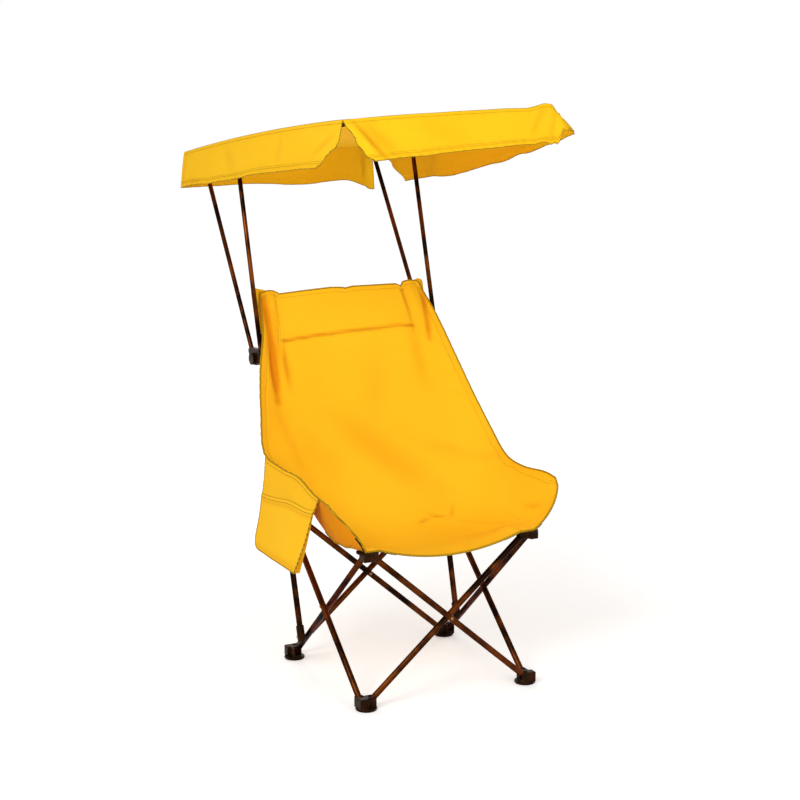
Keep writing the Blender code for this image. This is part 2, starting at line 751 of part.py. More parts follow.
def canopy_side(upright):
    """The clamp, turning hub, knob, rods and rail on one side of the canopy."""
    side = upright.side_name
    pivot = canopy_pivot(upright)
    out = Vector((upright.out, 0.0, 0.0))
    clamp(upright)
    knob(upright)
    inner_x = pivot.x - upright.out * HUB_PLATE_THICKNESS / 2
    outer_x = pivot.x + upright.out * HUB_PLATE_THICKNESS / 2
    lug = ROD_RADIUS + ROD_SOCKET_WALL

    points = []
    for x in (inner_x, outer_x):
        points += circle_points(pivot, HUB_PLATE_RADIUS, x)
        for is_rear in (True, False):
            foot_point, run = rod_line(upright, is_rear)
            points += circle_points(foot_point, lug, x)
            points += circle_points(foot_point + run * (ROD_SOCKET_DEPTH - lug), lug, x)
    plate = add_object(side + "_canopy_hub", hull_mesh(side + "_canopy_hub", points), DARK_PLASTIC)
    soften(plate, BLOCK_EDGE)
    bolt_hole = rod_mesh(side + "_hub_bore", pivot - out * CUT_OVERRUN, pivot + out * CUT_OVERRUN,
                         KNOB_BOLT_RADIUS + FIT_GAP, TUBE_SIDES)
    cut(plate, add_operand(side + "_hub_bore", bolt_hole))
    for is_rear in (True, False):
        canopy_rod(upright, is_rear, plate)
    rail(upright)


def clamp(upright):
    """The block that grips the upright beside the canopy hub."""
    side = upright.side_name
    at = upright.at_height(CANOPY_PIVOT_HEIGHT)
    half = TUBE_RADIUS + CLAMP_WALL
    frame = Matrix.Translation(at) @ upright.turn()
    level = Matrix.Translation(at)
    half_height = CLAMP_HEIGHT / 2
    block = add_object(side + "_canopy_clamp",
                       box_mesh(side + "_canopy_clamp", (-half, -half, -half_height), (half, half, half_height), level),
                       DARK_PLASTIC)
    soften(block, BLOCK_EDGE)
    reach = Vector((0.0, 0.0, CLAMP_HEIGHT))
    bore = rod_mesh(side + "_clamp_bore", frame @ -reach, frame @ reach, TUBE_RADIUS + FIT_GAP, TUBE_SIDES)
    cut(block, add_operand(side + "_clamp_bore", bore))
    out = Vector((upright.out, 0.0, 0.0))
    face = at + out * half
    seat = rod_mesh(side + "_bolt_seat", face - out * (BOLT_DEPTH + FIT_GAP), face + out * CUT_OVERRUN,
                    KNOB_BOLT_RADIUS + FIT_GAP, TUBE_SIDES)
    cut(block, add_operand(side + "_bolt_seat", seat))


def knob(upright):
    """The ribbed knob outside the hub, with its bolt through to the clamp."""
    side = upright.side_name
    pivot = canopy_pivot(upright)
    face = HUB_PLATE_THICKNESS / 2 + FIT_GAP
    tail = CANOPY_OFFSET - TUBE_RADIUS - CLAMP_WALL + BOLT_DEPTH
    edge = KNOB_HEIGHT / 4
    profile = [
        (0.0, face + KNOB_HEIGHT),
        (KNOB_RADIUS - edge, face + KNOB_HEIGHT),
        (KNOB_RADIUS, face + KNOB_HEIGHT - edge),
        (KNOB_RADIUS, face),
        (KNOB_BOLT_RADIUS, face),
        (KNOB_BOLT_RADIUS, -tail),
        (0.0, -tail),
    ]
    turn = Vector((upright.out, 0.0, 0.0)).to_track_quat("Z", "Y").to_matrix().to_4x4()
    turned_part(side + "_canopy_knob", profile, Matrix.Translation(pivot) @ turn, DARK_PLASTIC, TUBE_SIDES)


def canopy_rod(upright, is_rear, plate):
    """One rod, its socket in the hub plate and the rivet that joins it to the rail."""
    side = upright.side_name
    name = side + ("_rear_rod" if is_rear else "_front_rod")
    foot_point, run = rod_line(upright, is_rear)
    crossing = rod_top(upright, is_rear)
    end = crossing + run * ((RAIL_RADIUS - ROD_RADIUS * run.y) / run.z)
    rod = pipe(name, foot_point, end, ROD_RADIUS, ROD_WALL)
    socket = rod_mesh(name + "_socket", foot_point - run * FIT_GAP, foot_point + run * (ROD_SOCKET_DEPTH + CUT_OVERRUN),
                      ROD_RADIUS + FIT_GAP, TUBE_SIDES)
    cut(plate, add_operand(name + "_socket", socket))
    across = Vector((1.0, 0.0, 0.0))
    cut(rod, hole_through(name + "_hole", crossing, across, RAIL_RIVET_RADIUS + FIT_GAP))
    inner = crossing.x - upright.out * (ROD_RADIUS + FIT_GAP)
    outer = crossing.x + upright.out * (ROD_RADIUS + RAIL_GAP + RAIL_DIAMETER + FIT_GAP)
    centre = Vector(((inner + outer) / 2, crossing.y, crossing.z))
    half = abs(outer - inner) / 2
    profile = rivet_profile(half, RAIL_RIVET_RADIUS, RAIL_RIVET_HEAD_RADIUS, RIVET_HEAD_HEIGHT / 2)
    place = Matrix.Translation(centre) @ Matrix.Rotation(math.pi / 2, 4, "Y")
    turned_part(name + "_rivet", profile, place, RIVET_STEEL, HOLE_SIDES)


def rail(upright):
    """The rail under one side of the cover, and the cap in its front end."""
    side = upright.side_name
    front = rail_point(upright, COVER_FRONT_Y + RAIL_END_SET)
    rear = rail_point(upright, COVER_REAR_Y - RAIL_END_SET)
    item = pipe(side + "_canopy_rail", front, rear, RAIL_RADIUS, ROD_WALL)
    for is_rear in (True, False):
        crossing = rod_top(upright, is_rear)
        centre = Vector((front.x, crossing.y, crossing.z))
        name = f"{side}_rail_hole_{int(is_rear)}"
        cut(item, hole_through(name, centre, Vector((1.0, 0.0, 0.0)), RAIL_RIVET_RADIUS + FIT_GAP))
    lip = RAIL_RADIUS + RAIL_CAP_LIP / 3
    profile = [
        (0.0, RAIL_CAP_LENGTH), (lip - RAIL_CAP_LIP, RAIL_CAP_LENGTH), (lip, RAIL_CAP_LENGTH - RAIL_CAP_LIP),
        (lip, FIT_GAP), (0.0, FIT_GAP),
    ]
    turn = (front - rear).to_track_quat("Z", "Y").to_matrix().to_4x4()
    turned_part(side + "_rail_cap", profile, Matrix.Translation(front) @ turn, DARK_PLASTIC)


def cover_corner(upright, is_front):
    """A top corner of the cover."""
    y = COVER_FRONT_Y if is_front else COVER_REAR_Y
    return Vector((cover_x(upright), y, cover_height(upright, y)))


def between(start, end, share):
    """A point between two others."""
    return start + (end - start) * share


def lay_grid(work, columns, rows, place):
    """Lay a grid of faces: place turns a share across and a share down into a point."""
    made = bmesh.ops.create_grid(work, x_segments=columns, y_segments=rows, size=1.0)
    for vertex in made["verts"]:
        vertex.co = place((vertex.co.x + 1.0) / 2, (1.0 - vertex.co.y) / 2)


def valance(work, start, end, outward, start_cut, end_cut):
    """Hang one flap from the top edge between two corners.

    A cut end is drawn in along the lower edge, and its corner is slit. An end with no cut
    flares out to meet the next flap.
    """
    run = (end - start).normalized()
    length = (end - start).length

    def place(across, down):
        first = start_cut * down if start_cut else -VALANCE_FLARE * down
        last = length - end_cut * down if end_cut else length + VALANCE_FLARE * down
        wave = math.sin(across * math.pi * VALANCE_WAVES) * VALANCE_WAVE * down
        edge = start + run * (first + (last - first) * across)
        return edge + outward * (VALANCE_FLARE * down + wave) - Vector((0.0, 0.0, VALANCE_DEPTH * down))

    lay_grid(work, COVER_COLUMNS, VALANCE_STEPS, place)


def cover():
    """The cloth cover: a top panel with four flaps, slit at three of its corners."""
    front_left, front_right = cover_corner(LEFT, True), cover_corner(RIGHT, True)
    rear_left, rear_right = cover_corner(LEFT, False), cover_corner(RIGHT, False)

    def panel(across, back):
        left = between(front_left, rear_left, back)
        right = between(front_right, rear_right, back)
        sag = COVER_SAG * (math.sin(math.pi * across) * math.sin(math.pi * back)) ** 2
        return between(left, right, across) - Vector((0.0, 0.0, sag))

    def build(work):
        lay_grid(work, COVER_COLUMNS, COVER_COLUMNS, panel)
        front, rear = Vector((0.0, -1.0, 0.0)), Vector((0.0, 1.0, 0.0))
        left, right = Vector((-1.0, 0.0, 0.0)), Vector((1.0, 0.0, 0.0))
        valance(work, front_left, front_right, front, FRONT_VALANCE_LEFT_CUT, 0.0)
        valance(work, front_right, rear_right, right, 0.0, RIGHT_VALANCE_REAR_CUT)
        valance(work, rear_right, rear_left, rear, REAR_VALANCE_RIGHT_CUT, 0.0)
        valance(work, rear_left, front_left, left, 0.0, LEFT_VALANCE_FRONT_CUT)
        bmesh.ops.remove_doubles(work, verts=work.verts, dist=COVER_CLOTH)

    item = add_object("canopy_cover", mesh_from(build, "canopy_cover"), COVER_MATERIAL)
    thicken(item, COVER_CLOTH)


def thicken(item, thickness):
    """Give a sheet its thickness, half to each side."""
    step = item.modifiers.new("cloth", "SOLIDIFY")
    step.thickness = thickness
    step.offset = 0.0


def smooth_read(table, place, column):
    """Read a column of a table between its rows, on a smooth curve through them."""
    last = len(table) - 1
    index = min(int(place), last - 1)
    share = place - index
    values = [table[min(max(row, 0), last)][column] for row in range(index - 1, index + 3)]
    before, start, end, after = values
    slope_in = (end - before) / 2
    slope_out = (after - start) / 2
    square, cube = share ** 2, share ** 3
    return (
        start * (2 * cube - 3 * square + 1) + slope_in * (cube - 2 * square + share)
        + end * (3 * square - 2 * cube) + slope_out * (cube - square)
    )


def sling_frame():
    """The sling's front and top places: front Y, top Y, hub height."""
    at_top = LEFT.at_height(SLING_TOP_HEIGHT)
    front = -FRAME_HALF - SLING_FRONT_OVERHANG
    top = at_top.y - (TOP_POCKET_HALF_DEPTH + SLING_CLOTH / 2) / math.cos(OPEN_LEAN) - FIT_GAP
    return front, top, HUB_ROOF + SLING_CLOTH


def sling_point(place, across):
    """A point of the sling: place counts the stations from the top, across runs from -1 to 1."""
    front, top, low = sling_frame()
    rim = [smooth_read(SLING_RIM_SHARES, place, column) for column in range(3)]
    centre = [smooth_read(SLING_CENTRE_SHARES, place, column) for column in range(2)]
    bow = smooth_read([(value,) for value in SLING_BOW_SHARES], place, 0)
    lift = abs(across) ** bow
    forward = centre[0] + (rim[1] - centre[0]) * lift
    centre_z = low + (SLING_TOP_HEIGHT - low) * centre[1]
    rim_z = low + (SLING_TOP_HEIGHT - low) * rim[2]
    plain_z = centre_z + (rim_z - centre_z) * lift
    shelf = min(max(place - SHELF_START_STATION, 0.0), 1.0)
    return Vector((
        rim[0] * across * SLING_HALF_WIDTH,
        front + (top - front) * forward,
        plain_z + (shelf_height(abs(across), centre_z, rim_z) - plain_z) * shelf,
    ))


def shelf_height(across, centre_z, rim_z):
    """The height of a row that lies on the hubs between the two sides of its shelf."""
    shelf_z = HUB_ROOF + FIT_GAP + SLING_CLOTH / 2
    inner, outer = shelf_ends()
    if across <= inner:
        return centre_z + (shelf_z - centre_z) * (across / inner) ** 2
    if across <= outer:
        return shelf_z
    climb = (across - outer) / (1.0 - outer)
    return shelf_z + (rim_z - shelf_z) * climb ** SHELF_CLIMB_BOW_SHARE


def shelf_ends():
    """Where the sling starts and stops lying on a hub, as shares of its half width."""
    inner = FRAME_HALF - CORNER_INSET - EAR_REACH - SHELF_MARGIN
    outer = FRAME_HALF + PLANE_SHIFT + ARM_HALF + SHELF_MARGIN
    return inner / SLING_HALF_WIDTH, outer / SLING_HALF_WIDTH


def column_share(across):
    """Move the columns of the sling so that two of them follow the ends of its shelf."""
    (first, second), (inner, outer) = SHELF_COLUMN_SHARES, shelf_ends()
    size = abs(across)
    if size <= first:
        moved = inner * size / first
    elif size <= second:
        moved = inner + (outer - inner) * (size - first) / (second - first)
    else:
        moved = outer + (1.0 - outer) * (size - second) / (1.0 - second)
    return math.copysign(moved, across)


def sling_panel(name, first, last, start_gap=0.0):
    """A panel of the sling between two stations."""
    rows = (last - first) * SLING_ROWS_PER_STATION
    start = first + start_gap

    def build(work):
        bmesh.ops.create_grid(work, x_segments=SLING_COLUMNS, y_segments=rows, size=1.0)
        for vertex in work.verts:
            share = (1.0 - vertex.co.y) / 2
            vertex.co = sling_point(start + (last - start) * share, column_share(vertex.co.x))

    panel = add_object(name, mesh_from(build, name), SEAT_CLOTH)
    panel.data.shade_smooth()
    thicken(panel, SLING_CLOTH)
    return panel


def station_gap(station):
    """The share of a station that leaves the clearance between two panels."""
    step = sling_point(station + 0.5, 0.0) - sling_point(station, 0.0)
    return FIT_GAP / step.length


def sling():
    """The three panels of the sling: back, seat and front."""
    sling_panel("sling_back", 0, BACK_END_STATION)
    sling_panel("sling_seat", BACK_END_STATION, SEAT_END_STATION, station_gap(BACK_END_STATION))
    sling_panel("sling_front", SEAT_END_STATION, len(SLING_RIM_SHARES) - 1, station_gap(SEAT_END_STATION))


def top_pocket(upright, end):
    """The sewn pocket over the top of an upright."""
    name = upright.side_name + "_top_pocket"
    top = CAP_TOP + FIT_GAP + TOP_POCKET_ROOF
    frame = Matrix.Translation(end) @ upright.turn()
    reaches = sorted((upright.out * TOP_POCKET_OUTER_REACH, -upright.out * TOP_POCKET_INNER_REACH))
    low = (reaches[0], -TOP_POCKET_HALF_DEPTH, top - TOP_POCKET_HEIGHT)
    high = (reaches[1], TOP_POCKET_HALF_DEPTH, top)
    pocket = add_object(name, box_mesh(name, low, high, frame), SEAT_CLOTH)
    soften(pocket, TOP_POCKET_HALF_DEPTH / 2, 2)
    bore_top = frame @ Vector((0.0, 0.0, CAP_TOP + FIT_GAP))
    bore_low = frame @ Vector((0.0, 0.0, top - TOP_POCKET_HEIGHT - CUT_OVERRUN))
    bore = rod_mesh(name + "_bore", bore_low, bore_top, TUBE_RADIUS + CAP_WALL + FIT_GAP, TUBE_SIDES)
    cut(pocket, add_operand(name + "_bore", bore))


def side_pocket():
    """The flat pocket that hangs outside the left rim, open along its top."""
    rear = sling_point(POCKET_REAR_RIM_SHARE, -1.0)
    front = sling_point(POCKET_FRONT_RIM_SHARE, -1.0)
    inner = -SLING_HALF_WIDTH - SLING_CLOTH / 2 - FIT_GAP
    outer = inner - SIDE_POCKET_THICKNESS
    bottom = rear.z - SIDE_POCKET_HEIGHT
    width = rear.y - front.y
    low_rear = rear.y + width * POCKET_BOTTOM_REAR_SHARE
    low_front = front.y + width * POCKET_BOTTOM_FRONT_SHARE
    drop = SIDE_POCKET_MOUTH_DROP / SIDE_POCKET_HEIGHT
    wall = SIDE_POCKET_WALL

    def edge_at(share, inset):
        """The rear and front ends of a level of the pocket, drawn in by inset."""
        rear_y = rear.y + (low_rear - rear.y) * share - inset
        front_y = front.y + (low_front - front.y) * share + inset
        rear_z = rear.z + (bottom - rear.z) * share
        front_z = front.z + (bottom - front.z) * share
        return (rear_y, rear_z), (front_y, front_z)

    turn = Matrix(((0, 0, 1, 0), (1, 0, 0, 0), (0, 1, 0, 0), (0, 0, 0, 1)))

    def slab(name, low_x, high_x, top_share, bottom_lift, inset, top_lift=0.0):
        """A slab over the pocket's outline, between two planes."""
        (rear_top, rear_top_z), (front_top, front_top_z) = edge_at(top_share, inset)
        (rear_low, rear_low_z), (front_low, front_low_z) = edge_at(1.0, inset)
        outline = [
            (rear_top, rear_top_z + top_lift), (front_top, front_top_z + top_lift),
            (front_low, front_low_z + bottom_lift), (rear_low, rear_low_z + bottom_lift),
        ]
        return prism_mesh(name, outline, low_x, high_x, turn)

    pocket = add_object("side_pocket", slab("side_pocket", outer, inner, 0.0, 0.0, 0.0),
                        SEAT_CLOTH)
    hollow = slab("pocket_hollow", outer + wall, inner - wall, drop, wall, wall, CUT_OVERRUN)
    mouth = slab("pocket_mouth", outer - CUT_OVERRUN, inner - wall, 0.0,
                 SIDE_POCKET_HEIGHT * (1.0 - drop), -CUT_OVERRUN, CUT_OVERRUN)
    cut(pocket, add_operand("pocket_mouth", mouth))
    cut(pocket, add_operand("pocket_hollow", hollow))


def front_hub(corner):
    """A front hub and the washer that holds the sling's corner down on it."""
    name = CORNER_NAMES[corner]
    corner_block(name + "_hub", corner, False)
    frame = corner_frame(corner)
    centre = frame @ Vector((CORNER_INSET / 2, CORNER_INSET / 2, 0.0))
    height = HUB_ROOF + FIT_GAP + SLING_CLOTH + FIT_GAP
    edge = CORNER_WASHER_HEIGHT / 3
    profile = [
        (0.0, CORNER_WASHER_HEIGHT), (CORNER_WASHER_RADIUS - edge, CORNER_WASHER_HEIGHT),
        (CORNER_WASHER_RADIUS, CORNER_WASHER_HEIGHT - edge), (CORNER_WASHER_RADIUS, 0.0), (0.0, 0.0),
    ]
    place = Matrix.Translation((centre.x, centre.y, height))
    turned_part(name + "_corner_washer", profile, place, DARK_PLASTIC, TUBE_SIDES)


def front_hinge():
    """Where the sling's front panel turns: over the front left hub."""
    front_edge = sling_point(len(SLING_RIM_SHARES) - 1, 0.0)
    return Vector((front_edge.x, front_edge.y, HUB_ROOF + SLING_CLOTH))


def canopy_nodes(side):
    """The pieces of one side of the canopy that turn together."""
    ends = ["front_rod", "rear_rod"]
    return [f"{side}_{name}" for name in (
        "canopy_hub", "canopy_knob", "canopy_rail", "rail_cap", *ends, *(end + "_rivet" for end in ends))]


def upright_nodes(side):
    """The pieces that move with an upright."""
    return [f"{side}_{name}" for name in (
        "upright", "upright_socket", "upright_cap", "top_pocket", "canopy_clamp")]


def crossing(side):
    """Where the tubes of a side cross."""
    return side_point(side, 0.0, 0.0, CROSSING_HEIGHT)


def moving_groups():
    """Each rigid group of pieces, with the point that its joint turns about."""
    return {
        "rear_left_foot": (pin_point(3, False, False), ["foot_rear_left", "foot_pad_rear_left"]),
        "left_inner_tube": (pin_point(3, False, False), [
            "left_tube_inner", "left_crossing_rivet", "left_socket_rivet"]),
        "left_outer_tube": (crossing(3), ["left_tube_outer"]),
        "front_left_hub": (pin_point(3, False, True), ["front_left_hub", "front_left_corner_washer"]),
        "front_left_foot": (pin_point(3, True, False), ["foot_front_left", "foot_pad_front_left"]),
        "rear_left_slider": (pin_point(3, True, True), ["left_rear_slider"]),
        "front_inner_tube": (pin_point(0, False, False), ["front_tube_inner", "front_crossing_rivet"]),
        "front_outer_tube": (crossing(0), ["front_tube_outer"]),
        "front_right_foot": (pin_point(0, True, False), ["foot_front_right", "foot_pad_front_right"]),
        "front_right_hub": (pin_point(0, False, True), ["front_right_hub", "front_right_corner_washer"]),
        "rear_outer_tube": (pin_point(2, True, False), ["rear_tube_outer"]),
        "rear_inner_tube": (crossing(2), ["rear_tube_inner", "rear_crossing_rivet"]),
        "rear_right_foot": (pin_point(2, False, False), ["foot_rear_right", "foot_pad_rear_right"]),
        "rear_right_slider": (pin_point(2, True, True), ["right_rear_slider"]),
        "right_outer_tube": (pin_point(1, True, False), ["right_tube_outer", "right_socket_rivet"]),
        "right_inner_tube": (crossing(1), ["right_tube_inner", "right_crossing_rivet"]),
        "left_upright": (LEFT.pin, [*upright_nodes("left"), "sling_back"]),
        "right_upright": (RIGHT.pin, upright_nodes("right")),
        "sling_seat": (sling_point(BACK_END_STATION, 0.0), ["sling_seat", "side_pocket"]),
        "sling_front": (front_hinge(), ["sling_front"]),
        "canopy_left": (canopy_pivot(LEFT), [*canopy_nodes("left"), "canopy_cover"]),
        "canopy_right": (canopy_pivot(RIGHT), canopy_nodes("right")),
    }


def add_pivot(name, point, items):
    """Hang pieces on an empty that stands at their joint."""
    pivot = bpy.data.objects.new(name + "_pivot", None)
    pivot.location = point
    pivot.empty_display_size = CORNER_INSET
    PARTS.objects.link(pivot)
    for item in items:
        item.parent = pivot
        item.matrix_parent_inverse = Matrix.Translation(-Vector(point))
    return pivot


def middle_of_floor():
    """The middle of the finished chair's outline on the floor."""
    graph = bpy.context.evaluated_depsgraph_get()
    points = []
    for item in PARTS.objects:
        if item.type == "MESH":
            shaped = item.evaluated_get(graph)
            points += [shaped.matrix_world @ vertex.co for vertex in shaped.data.vertices]
    spans = [(min(p[axis] for p in points), max(p[axis] for p in points)) for axis in range(2)]
    return Vector(((spans[0][0] + spans[0][1]) / 2, (spans[1][0] + spans[1][1]) / 2, 0.0))


def join_and_centre():
    """Hang each group on its joint, then stand the chair with its middle on the origin."""
    middle = middle_of_floor()
    pivots = [
        add_pivot(name, point, [bpy.data.objects[node] for node in nodes])
        for name, (point, nodes) in moving_groups().items()
    ]
    pivots.append(add_pivot("cutters", Vector((0.0, 0.0, 0.0)), list(CUTTERS.objects)))
    for pivot in pivots:
        pivot.location = pivot.location - middle


def build_chair():
    """Make every piece of the chair."""
    for side in range(len(SIDE_NAMES)):
        frame_tube(side, False)
        frame_tube(side, True)
        crossing_rivet(side)
        foot(side)
    front_hub(0)
    front_hub(1)
    slider(RIGHT, 2)
    slider(LEFT, 3)
    for upright in (LEFT, RIGHT):
        end = upright_tube(upright)
        top_pocket(upright, end)
        canopy_side(upright)
    cover()
    sling()
    side_pocket()
    join_and_centre()


build_chair()
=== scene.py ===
"""Folding scoop chair with a sun canopy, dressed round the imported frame.

The cloth sling, its pockets, the side pocket and the canopy cover are modelled as sheets over
the CAD solids, the tubes are redrawn finer, and the moulded blocks keep their CAD shape with
softened edges and added details. All sizes are in metres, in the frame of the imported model.
"""
import json
import logging
import math
from dataclasses import dataclass
from enum import Enum
from typing import Callable, Iterable, Optional, Sequence

import bmesh
import bpy
import numpy as np
from mathutils import Matrix, Vector, noise


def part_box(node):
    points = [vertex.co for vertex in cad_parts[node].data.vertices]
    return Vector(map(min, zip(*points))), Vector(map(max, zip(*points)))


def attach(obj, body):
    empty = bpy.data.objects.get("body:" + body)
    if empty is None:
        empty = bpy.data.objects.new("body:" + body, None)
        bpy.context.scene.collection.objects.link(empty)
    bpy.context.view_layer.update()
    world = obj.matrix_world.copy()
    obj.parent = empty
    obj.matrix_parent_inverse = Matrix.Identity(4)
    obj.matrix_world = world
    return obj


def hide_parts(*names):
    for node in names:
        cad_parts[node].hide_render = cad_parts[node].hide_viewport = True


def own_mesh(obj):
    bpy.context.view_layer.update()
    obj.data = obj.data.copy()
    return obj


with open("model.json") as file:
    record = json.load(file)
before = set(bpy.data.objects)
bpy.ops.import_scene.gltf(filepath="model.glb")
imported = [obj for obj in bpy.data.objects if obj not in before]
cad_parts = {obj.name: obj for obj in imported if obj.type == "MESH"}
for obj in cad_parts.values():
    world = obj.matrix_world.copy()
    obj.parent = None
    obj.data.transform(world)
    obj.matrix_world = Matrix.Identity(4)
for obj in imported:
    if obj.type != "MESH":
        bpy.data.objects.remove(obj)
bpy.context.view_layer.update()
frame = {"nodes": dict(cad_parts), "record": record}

LOG = logging.getLogger("scoop_chair")
MM = 0.001
WAVE_SCALE = math.pi / 10  # A wave node repeats once a metre at this scale
NODE_BODY = {node: body for body, nodes in frame["record"]["behaviour"]["bodies"].items() for node in nodes}


class Side(Enum):
    """The two sides of the chair, seen from the front."""

    LEFT = "left"
    RIGHT = "right"

    @property
    def out(self) -> float:
        """The sign of X away from the chair's middle."""
        return -1.0 if self is Side.LEFT else 1.0


class Slot(Enum):
    """The record's material slots."""

    STEEL = "brown_painted_steel"
    PLASTIC = "dark_moulded_plastic"
    RUBBER = "black_rubber"
    RIVET = "bronzed_rivet"
    SEAT = "yellow_woven_polyester"
    COVER = "yellow_canopy_polyester"


def base_centre() -> Vector:
    """Find the middle of the square between the feet.

    Returns:
        The point on the floor that the part's source measures from.
    """
    names = ("front_left", "front_right", "rear_right", "rear_left")
    middle = Vector()
    for name in names:
        low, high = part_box("foot_pad_" + name)
        middle += (Vector(low) + Vector(high)) / 2 / len(names)
    return Vector((middle.x, middle.y, 0.0))


BASE = base_centre()


# Materials


def linear(code: str) -> tuple[float, float, float, float]:
    """Turn an sRGB hex colour to linear values.

    Args:
        code: Six hex digits.

    Returns:
        Red, green, blue and an alpha of 1.
    """
    shares = [int(code[start:start + 2], 16) / 255 for start in (0, 2, 4)]
    lit = [share / 12.92 if share <= 0.04045 else ((share + 0.055) / 1.055) ** 2.4 for share in shares]
    return (lit[0], lit[1], lit[2], 1.0)


def add_node(tree: bpy.types.NodeTree, kind: str, settings: Optional[dict] = None,
             inputs: Optional[dict] = None) -> bpy.types.Node:
    """Add one shader node with its settings and links.

    Args:
        tree: The material's or world's node tree.
        kind: The node's type, without the leading ShaderNode.
        settings: Attribute names and values.
        inputs: Input names or places, each with a value or a socket to link from.

    Returns:
        The node.
    """
    made = tree.nodes.new("ShaderNode" + kind)
    for name, value in (settings or {}).items():
        setattr(made, name, value)
    for name, value in (inputs or {}).items():
        if isinstance(value, bpy.types.NodeSocket):
            tree.links.new(value, made.inputs[name])
        else:
            made.inputs[name].default_value = value
    return made


def blank_material(name: str) -> tuple[bpy.types.Material, bpy.types.NodeTree]:
    """Make a material with an empty tree.

    Args:
        name: The material's name.

    Returns:
        The material and its node tree.
    """
    made = bpy.data.materials.new(name)
    made.use_nodes = True
    made.node_tree.nodes.clear()
    return made, made.node_tree


def finish_material(tree: bpy.types.NodeTree, inputs: dict) -> bpy.types.Node:
    """Close a tree with a Principled shader and the output.

    Args:
        tree: The material's tree.
        inputs: The shader's values and links.

    Returns:
        The Principled node.
    """
    shader = add_node(tree, "BsdfPrincipled", {}, inputs)
    add_node(tree, "OutputMaterial", {}, {"Surface": shader.outputs["BSDF"]})
    return shader


def mapped(tree: bpy.types.NodeTree, value: bpy.types.NodeSocket, source: tuple[float, float],
           target: tuple[float, float] = (0.0, 1.0), kind: str = "LINEAR") -> bpy.types.NodeSocket:
    """Map a value from one range to another.

    Args:
        tree: The node tree.
        value: The socket to read.
        source: The range that it has.
        target: The range that it gets.
        kind: The node's interpolation.

    Returns:
        The mapped value's socket.
    """
    return add_node(tree, "MapRange", {"interpolation_type": kind}, {
        "Value": value, "From Min": source[0], "From Max": source[1],
        "To Min": target[0], "To Max": target[1]}).outputs["Result"]


def mottled(tree: bpy.types.NodeTree, place: bpy.types.NodeSocket, scale: float, detail: float,
            roughness: float = 0.5) -> bpy.types.NodeSocket:
    """Add noise that is read at a place, and return its value."""
    return add_node(tree, "TexNoise", {}, {
        "Vector": place, "Scale": scale, "Detail": detail, "Roughness": roughness}).outputs["Fac"]


def mixed_tone(tree: bpy.types.NodeTree, share: bpy.types.NodeSocket, first: str | bpy.types.NodeSocket,
               second: str) -> bpy.types.NodeSocket:
    """Mix two tones by a share; the first is a hex code or a socket, the second a hex code."""
    start = linear(first) if isinstance(first, str) else first
    return add_node(tree, "Mix", {"data_type": "RGBA"}, {0: share, 6: start, 7: linear(second)}).outputs[2]


def bumped(tree: bpy.types.NodeTree, height: bpy.types.NodeSocket, depth: float, strength: float,
           under: Optional[bpy.types.NodeSocket] = None) -> bpy.types.NodeSocket:
    """Turn a height into a normal, over another normal where one is given."""
    below = {} if under is None else {"Normal": under}
    return add_node(tree, "Bump", {}, {
        "Height": height, "Distance": depth, "Strength": strength, **below}).outputs["Normal"]


def object_place(tree: bpy.types.NodeTree) -> bpy.types.NodeSocket:
    """The object's own coordinates."""
    return add_node(tree, "TexCoord").outputs["Object"]


class Finish:
    """A material that describes the inputs of its Principled shader."""

    name: str

    def inputs(self, tree: bpy.types.NodeTree) -> dict:
        """Add the finish's nodes.

        Args:
            tree: The material's tree.

        Returns:
            The Principled shader's values and links.
        """
        raise NotImplementedError

    def build(self) -> bpy.types.Material:
        """Make the material.

        Returns:
            The material.
        """
        made, tree = blank_material(self.name)
        finish_material(tree, self.inputs(tree))
        return made


@dataclass(frozen=True)
class WovenPolyester(Finish):
    """Woven polyester cloth: a dull surface, a fine checked weave, and painted shade in its folds.

    The real thread is about 0.5 mm apart: it is drawn coarser so that it shows.
    """

    name: str
    light: str
    deep: str
    fold: str
    thread: float = 1.5 * MM
    weave_depth: float = 0.10 * MM
    crumple: float = 0.0

    def inputs(self, tree: bpy.types.NodeTree) -> dict:
        """Weave the cloth from two crossed waves, over slow fading and small folds, darkened by the painted shade
        that the mesh carries.
        """
        place = add_node(tree, "UVMap", {"uv_map": "cloth"}).outputs["UV"]
        solid = object_place(tree)
        painted_shade_share = add_node(tree, "Attribute", {"attribute_name": "fold"}).outputs["Fac"]
        waves = [
            add_node(tree, "TexWave", {"bands_direction": axis}, {
                "Vector": place, "Scale": WAVE_SCALE / self.thread, "Distortion": 0.4, "Detail": 1.0,
                "Detail Scale": 2.0}).outputs["Fac"]
            for axis in ("X", "Y")
        ]
        weave = add_node(tree, "Math", {"operation": "MAXIMUM"}, {0: waves[0], 1: waves[1]}).outputs[0]
        faded = mapped(tree, mottled(tree, solid, 3.0, 4.0, 0.6), (0.25, 0.75))
        # painted shade: the tone goes over to the shade colour where the mesh marks a fold, a hem or a seam
        tone = mixed_tone(tree, painted_shade_share, mixed_tone(tree, faded, self.light, self.deep), self.fold)
        shade = mapped(tree, weave, (0.0, 1.0), (0.91, 1.02))
        speck = mapped(tree, mottled(tree, place, 420.0, 2.0), (0.3, 0.7), (0.97, 1.03))
        level = add_node(tree, "Math", {"operation": "MULTIPLY"}, {0: shade, 1: speck}).outputs[0]
        colour = add_node(tree, "VectorMath", {"operation": "SCALE"}, {0: tone, "Scale": level}).outputs[0]
        normal = bumped(tree, mottled(tree, solid, 26.0, 4.0), self.crumple, 0.5,
                        bumped(tree, weave, self.weave_depth, 0.6))
        return {"Base Color": colour, "Roughness": 0.85, "Specular IOR Level": 0.12, "Normal": normal}


